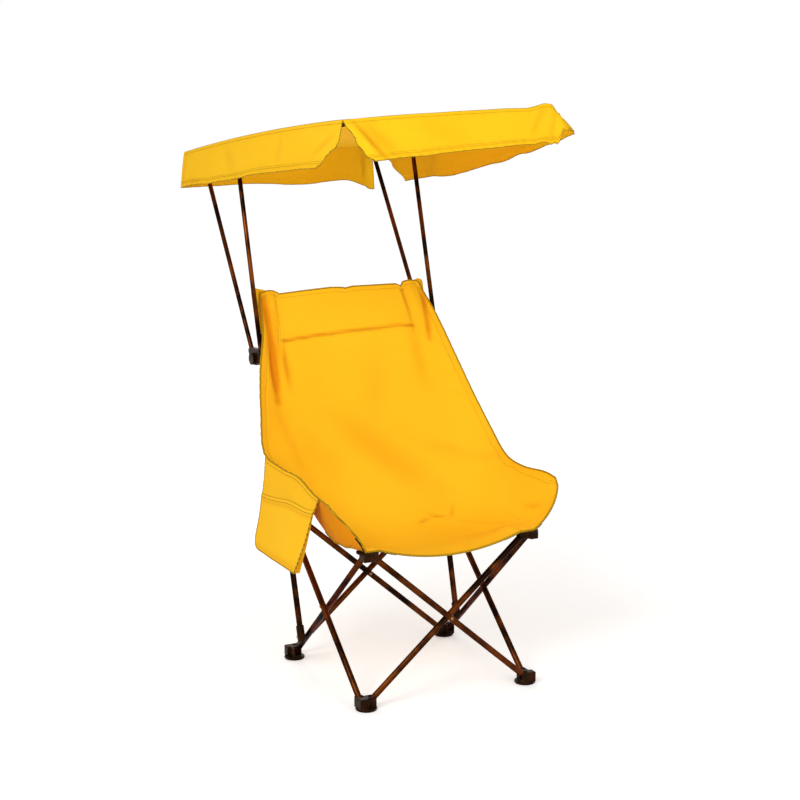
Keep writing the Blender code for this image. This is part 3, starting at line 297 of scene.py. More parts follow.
@dataclass(frozen=True)
class SewnThread(Finish):
    """Polyester sewing thread or overlocked edge tape: a dull twisted yarn with darker furrows."""

    name: str
    light: str
    deep: str
    rib: float = 1.2 * MM

    def inputs(self, tree: bpy.types.NodeTree) -> dict:
        """Twist the yarn with diagonal ribs."""
        rib = add_node(tree, "TexWave", {"bands_direction": "DIAGONAL"}, {
            "Vector": object_place(tree), "Scale": WAVE_SCALE / self.rib}).outputs["Fac"]
        return {"Base Color": mixed_tone(tree, rib, self.light, self.deep), "Roughness": 0.7,
                "Specular IOR Level": 0.15, "Normal": bumped(tree, rib, 0.2 * MM, 0.6)}


@dataclass(frozen=True)
class BakedPaint(Finish):
    """Baked brown paint on drawn steel tube: glossy, with a faint orange peel and rubbed patches."""

    name: str = "baked_brown_paint_on_drawn_steel"
    deep: str = "1A0A04"
    warm: str = "6A340F"
    sheen: str = "8A5A30"
    peel: float = 2.5 * MM

    def inputs(self, tree: bpy.types.NodeTree) -> dict:
        """Cloud the paint, and roughen it where it is rubbed."""
        solid = object_place(tree)
        cloud = mottled(tree, solid, 11.0, 4.0, 0.55)
        tone = mixed_tone(tree, mapped(tree, cloud, (0.42, 0.66)), self.deep, self.warm)
        rough = mapped(tree, cloud, (0.3, 0.7), (0.16, 0.26))
        normal = bumped(tree, mottled(tree, solid, 1.0 / self.peel, 1.0), 0.05 * MM, 0.4)
        return {"Base Color": tone, "Roughness": rough, "Metallic": 0.7, "Specular IOR Level": 0.2,
                "Specular Tint": linear(self.sheen), "Normal": normal}


@dataclass(frozen=True)
class MouldedPlastic(Finish):
    """Injection-moulded nylon or rubber: dark, with a fine spark-eroded grain."""

    name: str
    deep: str
    worn: str
    sheen: str = "FFC48C"
    roughness: float = 0.42
    grain: float = 0.9 * MM

    def inputs(self, tree: bpy.types.NodeTree) -> dict:
        """Wear the plastic in patches, over its grain."""
        solid = object_place(tree)
        cloud = mottled(tree, solid, 45.0, 5.0, 0.6)
        tone = mixed_tone(tree, mapped(tree, cloud, (0.45, 0.75)), self.deep, self.worn)
        rough = mapped(tree, cloud, (0.3, 0.7), (self.roughness - 0.08, self.roughness + 0.10))
        normal = bumped(tree, mottled(tree, solid, 1.0 / self.grain, 2.0), 0.08 * MM, 0.5)
        return {"Base Color": tone, "Roughness": rough, "Specular IOR Level": 0.10,
                "Specular Tint": linear(self.sheen), "Normal": normal}


@dataclass(frozen=True)
class BronzedSteel(Finish):
    """Bronzed steel rivets: warm metal with small scratches."""

    name: str = "bronzed_steel_rivet"
    light: str = "A9794E"
    deep: str = "6B4526"

    def inputs(self, tree: bpy.types.NodeTree) -> dict:
        """Vary the metal's tone and gloss together."""
        cloud = mottled(tree, object_place(tree), 160.0, 3.0)
        return {"Base Color": mixed_tone(tree, cloud, self.light, self.deep), "Metallic": 1.0,
                "Roughness": mapped(tree, cloud, (0.3, 0.7), (0.24, 0.42))}


class Finishes:
    """Every finish of the chair, built once."""

    def __init__(self) -> None:
        """Build the materials."""
        # The third colour of each cloth is its painted shade, laid into folds, hems and seams.
        self.seat = WovenPolyester("woven_yellow_polyester", "FFC520", "FDBB15", "DC8604", crumple=2.0 * MM).build()
        self.cover = WovenPolyester("coated_yellow_polyester", "FFC81A", "FDC012", "DE9604", 1.3 * MM, 0.06 * MM,
                                    1.0 * MM).build()
        self.tape = SewnThread("olive_yellow_edge_tape", "C49A0C", "7A5C06", 4.0 * MM).build()
        self.thread = SewnThread("olive_sewing_thread", "A5820C", "7D6208", 0.5 * MM).build()
        self.steel = BakedPaint().build()
        self.plastic = MouldedPlastic("moulded_dark_nylon", "150A04", "361B0B").build()
        self.rubber = MouldedPlastic("moulded_black_rubber", "0E0A08", "1A1410", "FFFFFF", 0.7, 0.7 * MM).build()
        self.rivet = BronzedSteel().build()

    def of_slot(self, slot: str) -> bpy.types.Material:
        """Find the finish of a record slot.

        Args:
            slot: The slot's name.

        Returns:
            The material.
        """
        table = {
            Slot.STEEL: self.steel, Slot.PLASTIC: self.plastic, Slot.RUBBER: self.rubber,
            Slot.RIVET: self.rivet, Slot.SEAT: self.seat, Slot.COVER: self.cover,
        }
        return table[Slot(slot)]


# Mesh helpers


def unit(values: np.ndarray) -> np.ndarray:
    """Clip values to 0 to 1."""
    return np.clip(values, 0.0, 1.0)


def eased(share: np.ndarray) -> np.ndarray:
    """Ease a share in and out."""
    return share * share * (3.0 - 2.0 * share)


def new_item(name: str, data: bpy.types.ID) -> bpy.types.Object:
    """Make an object from its data and link it to the scene."""
    item = bpy.data.objects.new(name, data)
    bpy.context.scene.collection.objects.link(item)
    return item


def face_steps(index: np.ndarray, turned: bool) -> np.ndarray:
    """The quads between a grid's point numbers, one way round or the other."""
    near, far = index[:-1, :-1], index[1:, 1:]
    down, over = index[1:, :-1], index[:-1, 1:]
    corners = [near, over, far, down] if turned else [near, down, far, over]
    return np.stack(corners, axis=-1).reshape(-1, 4)


def deselect() -> None:
    """Leave nothing selected, in object mode."""
    if bpy.context.object and bpy.context.object.mode != "OBJECT":
        bpy.ops.object.mode_set(mode="OBJECT")
    bpy.ops.object.select_all(action="DESELECT")


def take(item: bpy.types.Object) -> None:
    """Make one object the only selected and the active one."""
    deselect()
    item.select_set(True)
    bpy.context.view_layer.objects.active = item


def settle(item: bpy.types.Object) -> None:
    """Put an object's place into its mesh, so that it stands at the origin."""
    take(item)
    bpy.ops.object.transform_apply(location=True, rotation=True, scale=True)


def apply_step(item: bpy.types.Object, kind: str, **settings: object) -> None:
    """Add a modifier with its settings and apply it.

    Args:
        item: The object.
        kind: The modifier's type.
        settings: Its attributes.
    """
    take(item)
    step = item.modifiers.new(kind.lower(), kind)
    for name, value in settings.items():
        setattr(step, name, value)
    bpy.ops.object.modifier_apply(modifier=step.name)


def round_edges(item: bpy.types.Object, width: float, angle: float = 50.0) -> None:
    """Bevel an object's edges over an angle in degrees, and smooth it."""
    apply_step(item, "BEVEL", width=width, segments=2, limit_method="ANGLE", angle_limit=math.radians(angle))
    smooth(item)


def add_cylinder(name: str, vertices: int, radius: float, depth: float, fill: str = "NGON") -> bpy.types.Object:
    """Add a cylinder at the origin and name it."""
    deselect()
    bpy.ops.mesh.primitive_cylinder_add(vertices=vertices, radius=radius, depth=depth, end_fill_type=fill)
    item = bpy.context.object
    item.name = name
    return item


def smooth(item: bpy.types.Object, angle: float = 35.0) -> None:
    """Smooth an object's faces up to an angle in degrees."""
    take(item)
    bpy.ops.object.shade_smooth_by_angle(angle=math.radians(angle))


def dress(item: bpy.types.Object, finish: bpy.types.Material, slot: Slot, body: str,
          nodes: Sequence[str] = ()) -> bpy.types.Object:
    """Give a finished piece its material and body, and hide the CAD nodes that it stands for.

    Args:
        item: The piece.
        finish: Its material.
        slot: The record's slot; not used.
        body: The CAD body it moves with.
        nodes: The CAD nodes it replaces.

    Returns:
        The piece.
    """
    item.data.materials.clear()
    item.data.materials.append(finish)
    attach(item, body)
    if nodes:
        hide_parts(*nodes)
    LOG.info("%s: %d faces on %s", item.name, len(item.data.polygons), body)
    return item


def ring_axis(node: str) -> tuple[Vector, Vector]:
    """Find the axis of a CAD tube from the rings at its two ends.

    Args:
        node: The CAD node.

    Returns:
        The middle of its lower ring and of its upper ring.
    """
    mesh = frame["nodes"][node].data
    flat = np.empty(len(mesh.vertices) * 3)
    mesh.vertices.foreach_get("co", flat)
    points = np.unique(np.round(flat.reshape(-1, 3), 6), axis=0)
    run = np.linalg.svd(points - points.mean(axis=0), full_matrices=False)[2][0]
    run = run if run[2] > 0 else -run
    reach = points @ run
    band = 1.5 * MM
    low = points[reach < reach.min() + band].mean(axis=0)
    high = points[reach > reach.max() - band].mean(axis=0)
    return Vector(low), Vector(high)


def laid_along(start: Vector, end: Vector) -> Matrix:
    """The matrix that lays local Z from start to end, with its middle at the origin."""
    turn = (end - start).to_track_quat("Z", "Y").to_matrix().to_4x4()
    return Matrix.Translation((start + end) / 2) @ turn


def grid_mesh(name: str, points: np.ndarray, flat: np.ndarray, thickness: float,
              normals: Optional[np.ndarray] = None, fold: Optional[np.ndarray] = None,
              rear_face_painted_shade: Optional[np.ndarray] = None) -> bpy.types.Object:
    """Make a sheet with a thickness from a grid of points.

    Args:
        name: The object's name.
        points: Rows by columns by 3.
        flat: Rows by columns by 2, the cut cloth's own places in metres.
        thickness: The cloth's thickness.
        normals: The grid's normals, where they come from a larger grid.
        fold: How much painted shade each point gets, 0 to 1.
        rear_face_painted_shade: How much more painted shade the back face gets at each point.

    Returns:
        The object.
    """
    rows, columns = points.shape[:2]
    faces_along = grid_normals(points) if normals is None else normals
    front = points + faces_along * thickness / 2
    back = points - faces_along * thickness / 2
    count = rows * columns
    index = np.arange(count).reshape(rows, columns)
    quads = face_steps(index, False)
    rim = np.concatenate([index[0, :], index[1:, -1], index[-1, -2::-1], index[-2:0:-1, 0]])
    nxt = np.roll(rim, -1)
    sides = np.stack([rim, nxt, nxt + count, rim + count], axis=-1)
    faces = np.concatenate([quads, quads[:, ::-1] + count, sides])
    mesh = bpy.data.meshes.new(name)
    vertices = np.concatenate([front.reshape(-1, 3), back.reshape(-1, 3)])
    mesh.from_pydata(vertices.tolist(), [], faces.tolist())
    layer = mesh.uv_layers.new(name="cloth")
    places = np.concatenate([flat.reshape(-1, 2)] * 2)[faces.reshape(-1)]
    layer.data.foreach_set("uv", places.reshape(-1))
    # painted shade on the front face, and more of it on the back face where the second array says so
    depth = np.zeros(count) if fold is None else fold.reshape(-1)
    behind = depth if rear_face_painted_shade is None else unit(depth + rear_face_painted_shade.reshape(-1))
    mark_fold(mesh, np.concatenate([depth, behind]))
    mesh.shade_smooth()
    item = new_item(name, mesh)
    if normals is not None:
        both = np.concatenate([faces_along.reshape(-1, 3), -faces_along.reshape(-1, 3)])
        mesh.normals_split_custom_set_from_vertices(both.tolist())
    else:
        mesh.set_sharp_from_angle(angle=math.radians(60))
    return item


def mark_fold(mesh: bpy.types.Mesh, values: np.ndarray) -> None:
    """Write how much painted shade each vertex gets, for the cloth's finish."""
    mesh.attributes.new("fold", "FLOAT", "POINT").data.foreach_set("value", values)


def join_grids(name: str, sheets: Sequence[np.ndarray], painted_shades: Sequence[np.ndarray]) -> bpy.types.Object:
    """Join some grids in one open mesh.

    Args:
        name: The object's name.
        sheets: The grids' points.
        painted_shades: How much painted shade each of their points gets.

    Returns:
        The object.
    """
    vertices, faces, places, values = [], [], [], []
    for points, fold in zip(sheets, painted_shades):
        rows, columns = points.shape[:2]
        index = np.arange(rows * columns).reshape(rows, columns) + len(vertices)
        faces += face_steps(index, True).tolist()
        vertices += points.reshape(-1, 3).tolist()
        places += arc_places(points).reshape(-1, 2).tolist()
        values += fold.reshape(-1).tolist()
    mesh = bpy.data.meshes.new(name)
    mesh.from_pydata(vertices, [], faces)
    layer = mesh.uv_layers.new(name="cloth")
    for loop in mesh.loops:
        layer.data[loop.index].uv = places[loop.vertex_index]
    mark_fold(mesh, np.array(values))
    item = new_item(name, mesh)
    return item


def sheet_area(sheets: Sequence[np.ndarray]) -> float:
    """Add up the area of some grids, in square metres."""
    total = 0.0
    for points in sheets:
        over = np.diff(points, axis=1)[:-1]
        down = np.diff(points, axis=0)[:, :-1]
        total += float(np.linalg.norm(np.cross(over, down), axis=-1).sum())
    return total


def join_items(name: str, parts: Sequence[bpy.types.Object]) -> bpy.types.Object:
    """Join some objects in one with a new name."""
    deselect()
    for part in parts:
        part.select_set(True)
    bpy.context.view_layer.objects.active = parts[0]
    if len(parts) > 1:
        bpy.ops.object.join()
    parts[0].name = name
    return parts[0]


def grid_normals(points: np.ndarray) -> np.ndarray:
    """Work out a grid's normals from its neighbours.

    Args:
        points: Rows by columns by 3.

    Returns:
        Unit normals of the same shape.
    """
    down = np.gradient(points, axis=0)
    over = np.gradient(points, axis=1)
    cross = np.cross(down, over)
    return cross / np.maximum(np.linalg.norm(cross, axis=-1, keepdims=True), 1e-12)


def arc_places(points: np.ndarray) -> np.ndarray:
    """Lay a grid out flat by its lengths along the middle row and column.

    Args:
        points: Rows by columns by 3.

    Returns:
        Rows by columns by 2, in metres.
    """
    rows, columns = points.shape[:2]
    steps = np.linalg.norm(np.diff(points, axis=1), axis=-1)
    over = np.concatenate([np.zeros((rows, 1)), np.cumsum(steps, axis=1)], axis=1)
    over -= over[:, columns // 2:columns // 2 + 1]
    middle = np.linalg.norm(np.diff(points[:, columns // 2], axis=0), axis=-1)
    down = np.concatenate([[0.0], np.cumsum(middle)])
    return np.stack([over, np.repeat(down[:, None], columns, axis=1)], axis=-1)


@dataclass(frozen=True)
class Crease:
    """A fold in a sheet, from one place of its grid to another."""

    start: tuple[float, float]
    end: tuple[float, float]
    depth: float
    width: float
    # painted shade laid along the fold
    shade: float = 0.8

    def raise_at(self, points: np.ndarray, locate: Callable[[float, float], np.ndarray]) -> np.ndarray:
        """How far the crease lifts each point.

        Args:
            points: The sheet's points, rows by columns by 3.
            locate: Turns one of the crease's places into a point.

        Returns:
            The lift along the normal, rows by columns.
        """
        first, last = locate(*self.start), locate(*self.end)
        run = last - first
        length = float(np.dot(run, run))
        share = unit(((points - first) @ run) / length)
        gap = np.linalg.norm(points - (first + share[..., None] * run), axis=-1)
        fade = np.sin(math.pi * np.clip(share, 0.06, 0.94)) ** 0.7
        return self.depth * np.exp(-(gap / self.width) ** 2) * fade


def creased(creases: Iterable[Crease], points: np.ndarray, locate: Callable[[float, float], np.ndarray],
            full_shade: float) -> tuple[np.ndarray, np.ndarray]:
    """Add up some creases.

    Args:
        creases: The creases.
        points: The sheet's points.
        locate: Turns one of a crease's places into a point.
        full_shade: The depth at which a fold is fully shaded.

    Returns:
        The lifts along the normal, and the painted shade in the folds.
    """
    lift, fold = np.zeros(points.shape[:-1]), np.zeros(points.shape[:-1])
    for crease in creases:
        rise = crease.raise_at(points, locate)
        lift += rise
        fold += unit(-rise / full_shade) * crease.shade
    return lift, fold


def cloth_noise(points: np.ndarray, size: float, seed: float) -> np.ndarray:
    """Slow noise over a grid.

    Args:
        points: Rows by columns by 3.
        size: The size of its lumps.
        seed: Moves the noise to another place.

    Returns:
        Values from about -1 to 1, rows by columns.
    """
    shift = Vector((seed, seed * 2, seed * 3))
    flat = [noise.noise(Vector(point) / size + shift) for point in points.reshape(-1, 3)]
    return np.array(flat).reshape(points.shape[:2])


def path_tube(name: str, path: Iterable[Sequence[float]], radius: float, sides: int = 2,
              closed: bool = False) -> bpy.types.Object:
    """A round strand along a path.

    Args:
        name: The object's name.
        path: Its points.
        radius: Its radius.
        sides: The curve's bevel resolution.
        closed: Whether the path closes.

    Returns:
        A mesh object at the origin.
    """
    curve = bpy.data.curves.new(name, "CURVE")
    curve.dimensions = "3D"
    curve.bevel_depth = radius
    curve.bevel_resolution = sides
    curve.use_fill_caps = not closed
    spline = curve.splines.new("POLY")
    places = [tuple(point) for point in path]
    spline.points.add(len(places) - 1)
    for point, place in zip(spline.points, places):
        point.co = (*place, 1.0)
    spline.use_cyclic_u = closed
    item = new_item(name, curve)
    take(item)
    bpy.ops.object.convert(target="MESH")
    bpy.ops.object.shade_smooth()
    return bpy.context.object


def even_path(path: np.ndarray, step: float) -> np.ndarray:
    """Read a path at even steps.

    Args:
        path: Its points.
        step: The wanted step.

    Returns:
        The new points.
    """
    gaps = np.linalg.norm(np.diff(path, axis=0), axis=-1)
    reach = np.concatenate([[0.0], np.cumsum(gaps)])
    count = max(2, int(round(reach[-1] / step)) + 1)
    places = np.linspace(0.0, reach[-1], count)
    return np.stack([np.interp(places, reach, path[:, axis]) for axis in range(3)], axis=-1)


@dataclass(frozen=True)
class Stitching:
    """A row of stitches: one stitch, modelled once and repeated along a path."""

    pitch: float = 5.0 * MM
    length: float = 3.4 * MM
    radius: float = 0.55 * MM

    def sew(self, name: str, paths: Sequence[np.ndarray]) -> bpy.types.Object:
        """Sew along some paths.

        Args:
            name: The object's name.
            paths: The lines of stitching.

        Returns:
            One mesh object with every stitch.
        """
        deselect()
        bpy.ops.mesh.primitive_cylinder_add(vertices=6, radius=self.radius, depth=self.length)
        stitch = bpy.context.object
        bpy.ops.object.mode_set(mode="EDIT")
        bpy.ops.mesh.select_all(action="SELECT")
        bpy.ops.mesh.bevel(offset=self.radius * 0.45, segments=1, affect="EDGES")
        bpy.ops.object.mode_set(mode="OBJECT")
        flat = np.empty(len(stitch.data.vertices) * 3)
        stitch.data.vertices.foreach_get("co", flat)
        shape = flat.reshape(-1, 3)
        faces = [tuple(face.vertices) for face in stitch.data.polygons]
        bpy.data.objects.remove(stitch, do_unlink=True)
        vertices, polygons = [], []
        for path in paths:
            line = even_path(path, self.pitch)
            for start, end in zip(line[:-1], line[1:]):
                place = laid_along(Vector(start), Vector(end))
                first = len(vertices)
                vertices += [place @ Vector(point) for point in shape]
                polygons += [tuple(corner + first for corner in face) for face in faces]
        mesh = bpy.data.meshes.new(name)
        mesh.from_pydata(vertices, [], polygons)
        mesh.shade_smooth()
        item = new_item(name, mesh)
        return item


# Steel tubes


@dataclass
class Tubes:
    """The legs, the uprights, the canopy rods and its rails, drawn finer over the CAD tubes."""

    frame_radius: float = 8.0 * MM
    frame_wall: float = 1.2 * MM
    rod_radius: float = 6.25 * MM
    rod_wall: float = 1.0 * MM
    lip: float = 0.5 * MM
    sides: int = 40

    def build(self, finishes: Finishes) -> None:
        """Make every tube."""
        for side in ("front", "right", "rear", "left"):
            for lay in ("inner", "outer"):
                self.tube(f"{side}_tube_{lay}", self.frame_radius, self.frame_wall, finishes)
        for side in Side:
            self.tube(side.value + "_upright", self.frame_radius, self.frame_wall, finishes)
            for kind in ("front_rod", "rear_rod", "canopy_rail"):
                self.tube(f"{side.value}_{kind}", self.rod_radius, self.rod_wall, finishes)

    def tube(self, node: str, radius: float, wall: float, finishes: Finishes) -> None:
        """Make one tube: an open cylinder with a wall and rounded lips.

        Args:
            node: The CAD node that it stands for.
            radius: Its outer radius.
            wall: Its wall.
            finishes: The materials.
        """
        start, end = ring_axis(node)
        item = add_cylinder(node + "_drawn", self.sides, radius, (end - start).length, "NOTHING")
        item.matrix_world = laid_along(start, end)
        settle(item)
        apply_step(item, "SOLIDIFY", thickness=wall, offset=-1.0, use_even_offset=True)
        round_edges(item, self.lip)
        dress(item, finishes.steel, Slot.STEEL, NODE_BODY[node], [node])


# Moulded blocks and small hardware


@dataclass
class Hardware:
    """The CAD nodes that keep their shape, with softened edges, and the small pieces on them."""

    edge: float = 0.7 * MM
    knob_radius: float = 15.2 * MM
    knob_rib: float = 1.1 * MM
    knob_ribs: int = 20
    knob_depth: float = 8.0 * MM
    sunk: float = 0.4 * MM
    brim_sides: int = 32
    brim_radius: float = 29.0 * MM
    brim_height: float = 4.0 * MM
    tab_reach: float = 13.0 * MM

    def build(self, finishes: Finishes) -> None:
        """Dress the CAD nodes and add the small pieces."""
        slots = {part["node"]: part["material_slot"] for part in frame["record"]["subparts"]}
        for node, item in frame["nodes"].items():
            finish = finishes.of_slot(slots[node])
            for place in item.material_slots:
                place.material = finish
            if slots[node] in (Slot.PLASTIC.value, Slot.RUBBER.value, Slot.RIVET.value):
                self.soften(item)
        for side in Side:
            self.knob(side, finishes)
            self.flange(side, finishes)

    def soften(self, item: bpy.types.Object) -> None:
        """Round the edges of a CAD node with live modifiers."""
        weld = item.modifiers.new("weld", "WELD")
        weld.merge_threshold = 0.01 * MM
        bevel = item.modifiers.new("edges", "BEVEL")
        bevel.width = self.edge
        bevel.segments = 2
        bevel.limit_method = "ANGLE"
        bevel.angle_limit = math.radians(35)
        bevel.harden_normals = True

    def flange(self, side: Side, finishes: Finishes) -> None:
        """Make the thin brim with a rounded tab that the cloth's corner lies on, round a front hub.

        Args:
            side: The chair's side.
            finishes: The materials.
        """
        node = f"front_{side.value}_hub"
        low, high = (Vector(corner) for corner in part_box(node))
        centre = (low + high) / 2
        item = add_cylinder(node + "_brim", self.brim_sides, self.brim_radius, self.brim_height)
        bpy.ops.object.mode_set(mode="EDIT")
        bpy.ops.mesh.select_all(action="DESELECT")
        work = bmesh.from_edit_mesh(item.data)
        aim = Vector((side.out, -0.55, 0.0)).normalized()
        for face in work.faces:
            face.select_set(abs(face.normal.z) < 0.5 and face.normal.dot(aim) > 0.90)
        bmesh.update_edit_mesh(item.data)
        bpy.ops.mesh.extrude_region_move(TRANSFORM_OT_translate={"value": aim * self.tab_reach})
        bpy.ops.transform.resize(value=(0.45, 0.45, 1.0))
        bpy.ops.object.mode_set(mode="OBJECT")
        item.matrix_world = Matrix.Translation((centre.x, centre.y, high.z - self.brim_height / 2 - self.sunk))
        settle(item)
        round_edges(item, 0.8 * MM)
        dress(item, finishes.plastic, Slot.PLASTIC, NODE_BODY[node])

    def knob(self, side: Side, finishes: Finishes) -> None:
        """Make the ribbed grip round a canopy knob.

        Args:
            side: The chair's side.
            finishes: The materials.
        """
        node = side.value + "_canopy_knob"
        low, high = (Vector(corner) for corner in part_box(node))
        centre = (low + high) / 2
        tip = high.x if side is Side.RIGHT else low.x
        depth = self.knob_depth
        item = add_cylinder(side.value + "_knob_grip", self.knob_ribs * 2, self.knob_radius, depth)
        bpy.ops.object.mode_set(mode="EDIT")
        work = bmesh.from_edit_mesh(item.data)
        bpy.ops.mesh.select_all(action="DESELECT")
        walls = sorted((face for face in work.faces if abs(face.normal.z) < 0.5),
                       key=lambda face: math.atan2(face.normal.y, face.normal.x))
        for face in walls[::2]:
            face.select_set(True)
        bmesh.update_edit_mesh(item.data)
        bpy.ops.mesh.extrude_faces_move(TRANSFORM_OT_shrink_fatten={"value": self.knob_rib})
        bpy.ops.mesh.select_all(action="DESELECT")
        work = bmesh.from_edit_mesh(item.data)
        for face in work.faces:
            face.select_set(face.normal.z > 0.9 and len(face.verts) > 8)
        bmesh.update_edit_mesh(item.data)
        bpy.ops.mesh.inset(thickness=3.0 * MM, depth=0.0)
        bpy.ops.mesh.inset(thickness=0.8 * MM, depth=-1.2 * MM)
        bpy.ops.object.mode_set(mode="OBJECT")
        place = Vector((tip - side.out * (depth / 2 - self.sunk), centre.y, centre.z))
        item.matrix_world = Matrix.Translation(place) @ Matrix.Rotation(side.out * math.pi / 2, 4, "Y")
        settle(item)
        round_edges(item, 0.35 * MM, 40.0)
        dress(item, finishes.plastic, Slot.PLASTIC, NODE_BODY[node])


# Cloth sling


def smooth_read(table: Sequence[float], places: np.ndarray) -> np.ndarray:
    """Read a table between its rows, on a smooth curve through them.

    Args:
        table: One value a row.
        places: Where to read, in rows.

    Returns:
        The values.
    """
    values = np.array(table)
    last = len(values) - 1
    index = np.clip(np.floor(places).astype(int), 0, last - 1)
    share = places - index
    before, start, end, after = (values[np.clip(index + step, 0, last)] for step in (-1, 0, 1, 2))
    slope_in, slope_out = (end - before) / 2, (after - start) / 2
    square, cube = share ** 2, share ** 3
    return (start * (2 * cube - 3 * square + 1) + slope_in * (cube - 2 * square + share)
            + end * (3 * square - 2 * cube) + slope_out * (cube - square))


@dataclass
class SlingShape:
    """The sling's surface: stations run from its top edge to its front edge, across from -1 to 1."""

    half_width: float = 0.343
    front_y: float = -0.250
    top_y: float = 0.4047
    low_z: float = 0.4183
    top_z: float = 1.000
    roof_z: float = 0.4153
    cad_cloth: float = 3.0 * MM
    gap: float = 0.3 * MM
    shelf_inner: float = 0.205
    shelf_outer: float = 0.246
    shelf_start: float = 7.0
    left_climb: float = 0.75
    right_climb: float = 1.3
    rear_climb: float = 2.4
    round_start: float = 0.70
    left_round: float = 0.30
    right_round: float = 1.25
    left_rise: tuple[float, ...] = (0.0, 0.0, 0.0, 0.0, 0.0, 0.012, 0.018, 0.010, 0.018, 0.028)
    right_dip: tuple[float, ...] = (0.0, 0.0, 0.0, 0.0, 0.0, 0.018, 0.020, 0.005, 0.0, 0.0)
    right_pull: tuple[float, ...] = (0.0, 0.0, 0.0, 0.0, 0.0, 0.030, 0.030, 0.010, 0.0, 0.0)
    rim_over: tuple[float, ...] = (0.705, 0.780, 0.866, 0.936, 1.000, 0.990, 0.978, 0.988, 0.992, 0.988)
    rim_forward: tuple[float, ...] = (1.000, 0.885, 0.810, 0.720, 0.615, 0.450, 0.300, 0.155, 0.060, 0.006)
    rim_rise: tuple[float, ...] = (1.000, 0.829, 0.658, 0.487, 0.322, 0.262, 0.244, 0.222, 0.195, 0.170)
    mid_forward: tuple[float, ...] = (1.000, 0.915, 0.840, 0.755, 0.660, 0.545, 0.400, 0.240, 0.095, 0.000)
    mid_rise: tuple[float, ...] = (1.000, 0.815, 0.625, 0.435, 0.255, 0.085, -0.035, -0.065, -0.062, -0.062)
    bow: tuple[float, ...] = (2.0, 2.2, 2.4, 2.7, 3.2, 4.0, 4.8, 6.0, 6.0, 6.0)

    def points(self, place: np.ndarray, across: np.ndarray) -> np.ndarray:
        """Find points of the surface.

        Args:
            place: Stations from the top.
            across: From -1 to 1.

        Returns:
            The points, with 3 as the last length.
        """
        past = unit((np.abs(across) - self.round_start) / (1.0 - self.round_start))
        depth = np.where(across > 0, self.right_round, self.left_round)
        edge = 2.0 - depth * (1.0 - np.sqrt(1.0 - past ** 2))
        place = np.where(place > self.shelf_start, self.shelf_start + (place - self.shelf_start) * edge / 2.0, place)
        rim = [smooth_read(table, place) for table in (self.rim_over, self.rim_forward, self.rim_rise)]
        middle = [smooth_read(table, place) for table in (self.mid_forward, self.mid_rise)]
        lift = np.abs(across) ** smooth_read(self.bow, place)
        forward = middle[0] + (rim[1] - middle[0]) * lift
        rise = self.top_z - self.low_z
        middle_z = self.low_z + rise * middle[1]
        change = np.where(across > 0, -smooth_read(self.right_dip, place), smooth_read(self.left_rise, place))
        rim_z = self.low_z + rise * rim[2] + change
        pull = np.where(across > 0, smooth_read(self.right_pull, place), 0.0) * across ** 2
        plain = middle_z + (rim_z - middle_z) * lift
        shelf = unit(place - self.shelf_start)
        front_climb = np.where(across > 0, self.right_climb, self.left_climb)
        power = front_climb + (self.rear_climb - front_climb) * unit(9.0 - place)
        height = plain + (self.shelf_height(np.abs(across), middle_z, rim_z, power) - plain) * shelf
        made = np.stack([
            (rim[0] - pull) * across * self.half_width,
            self.front_y + (self.top_y - self.front_y) * forward,
            height], axis=-1)
        return made + np.array(BASE)

    def shelf_height(self, across: np.ndarray, middle_z: np.ndarray, rim_z: np.ndarray,
                     power: np.ndarray) -> np.ndarray:
        """The height of a row that lies on the hubs.

        Args:
            across: From 0 to 1.
            middle_z: The height of the row's middle.
            rim_z: The height of its rim.
            power: How late the wing climbs to its rim.

        Returns:
            The heights.
        """
        flat = self.roof_z + self.gap + self.cad_cloth / 2
        inner, outer = self.shelf_inner / self.half_width, self.shelf_outer / self.half_width
        inside = middle_z + (flat - middle_z) * (across / inner) ** 2
        climb = np.clip((across - outer) / (1.0 - outer), 0.0, None)
        outside = flat + (rim_z - flat) * climb ** power
        return np.where(across <= inner, inside, np.where(across <= outer, flat, outside))

    def point(self, place: float, across: float) -> np.ndarray:
        """One point of the surface."""
        return self.points(np.array(place), np.array(across))


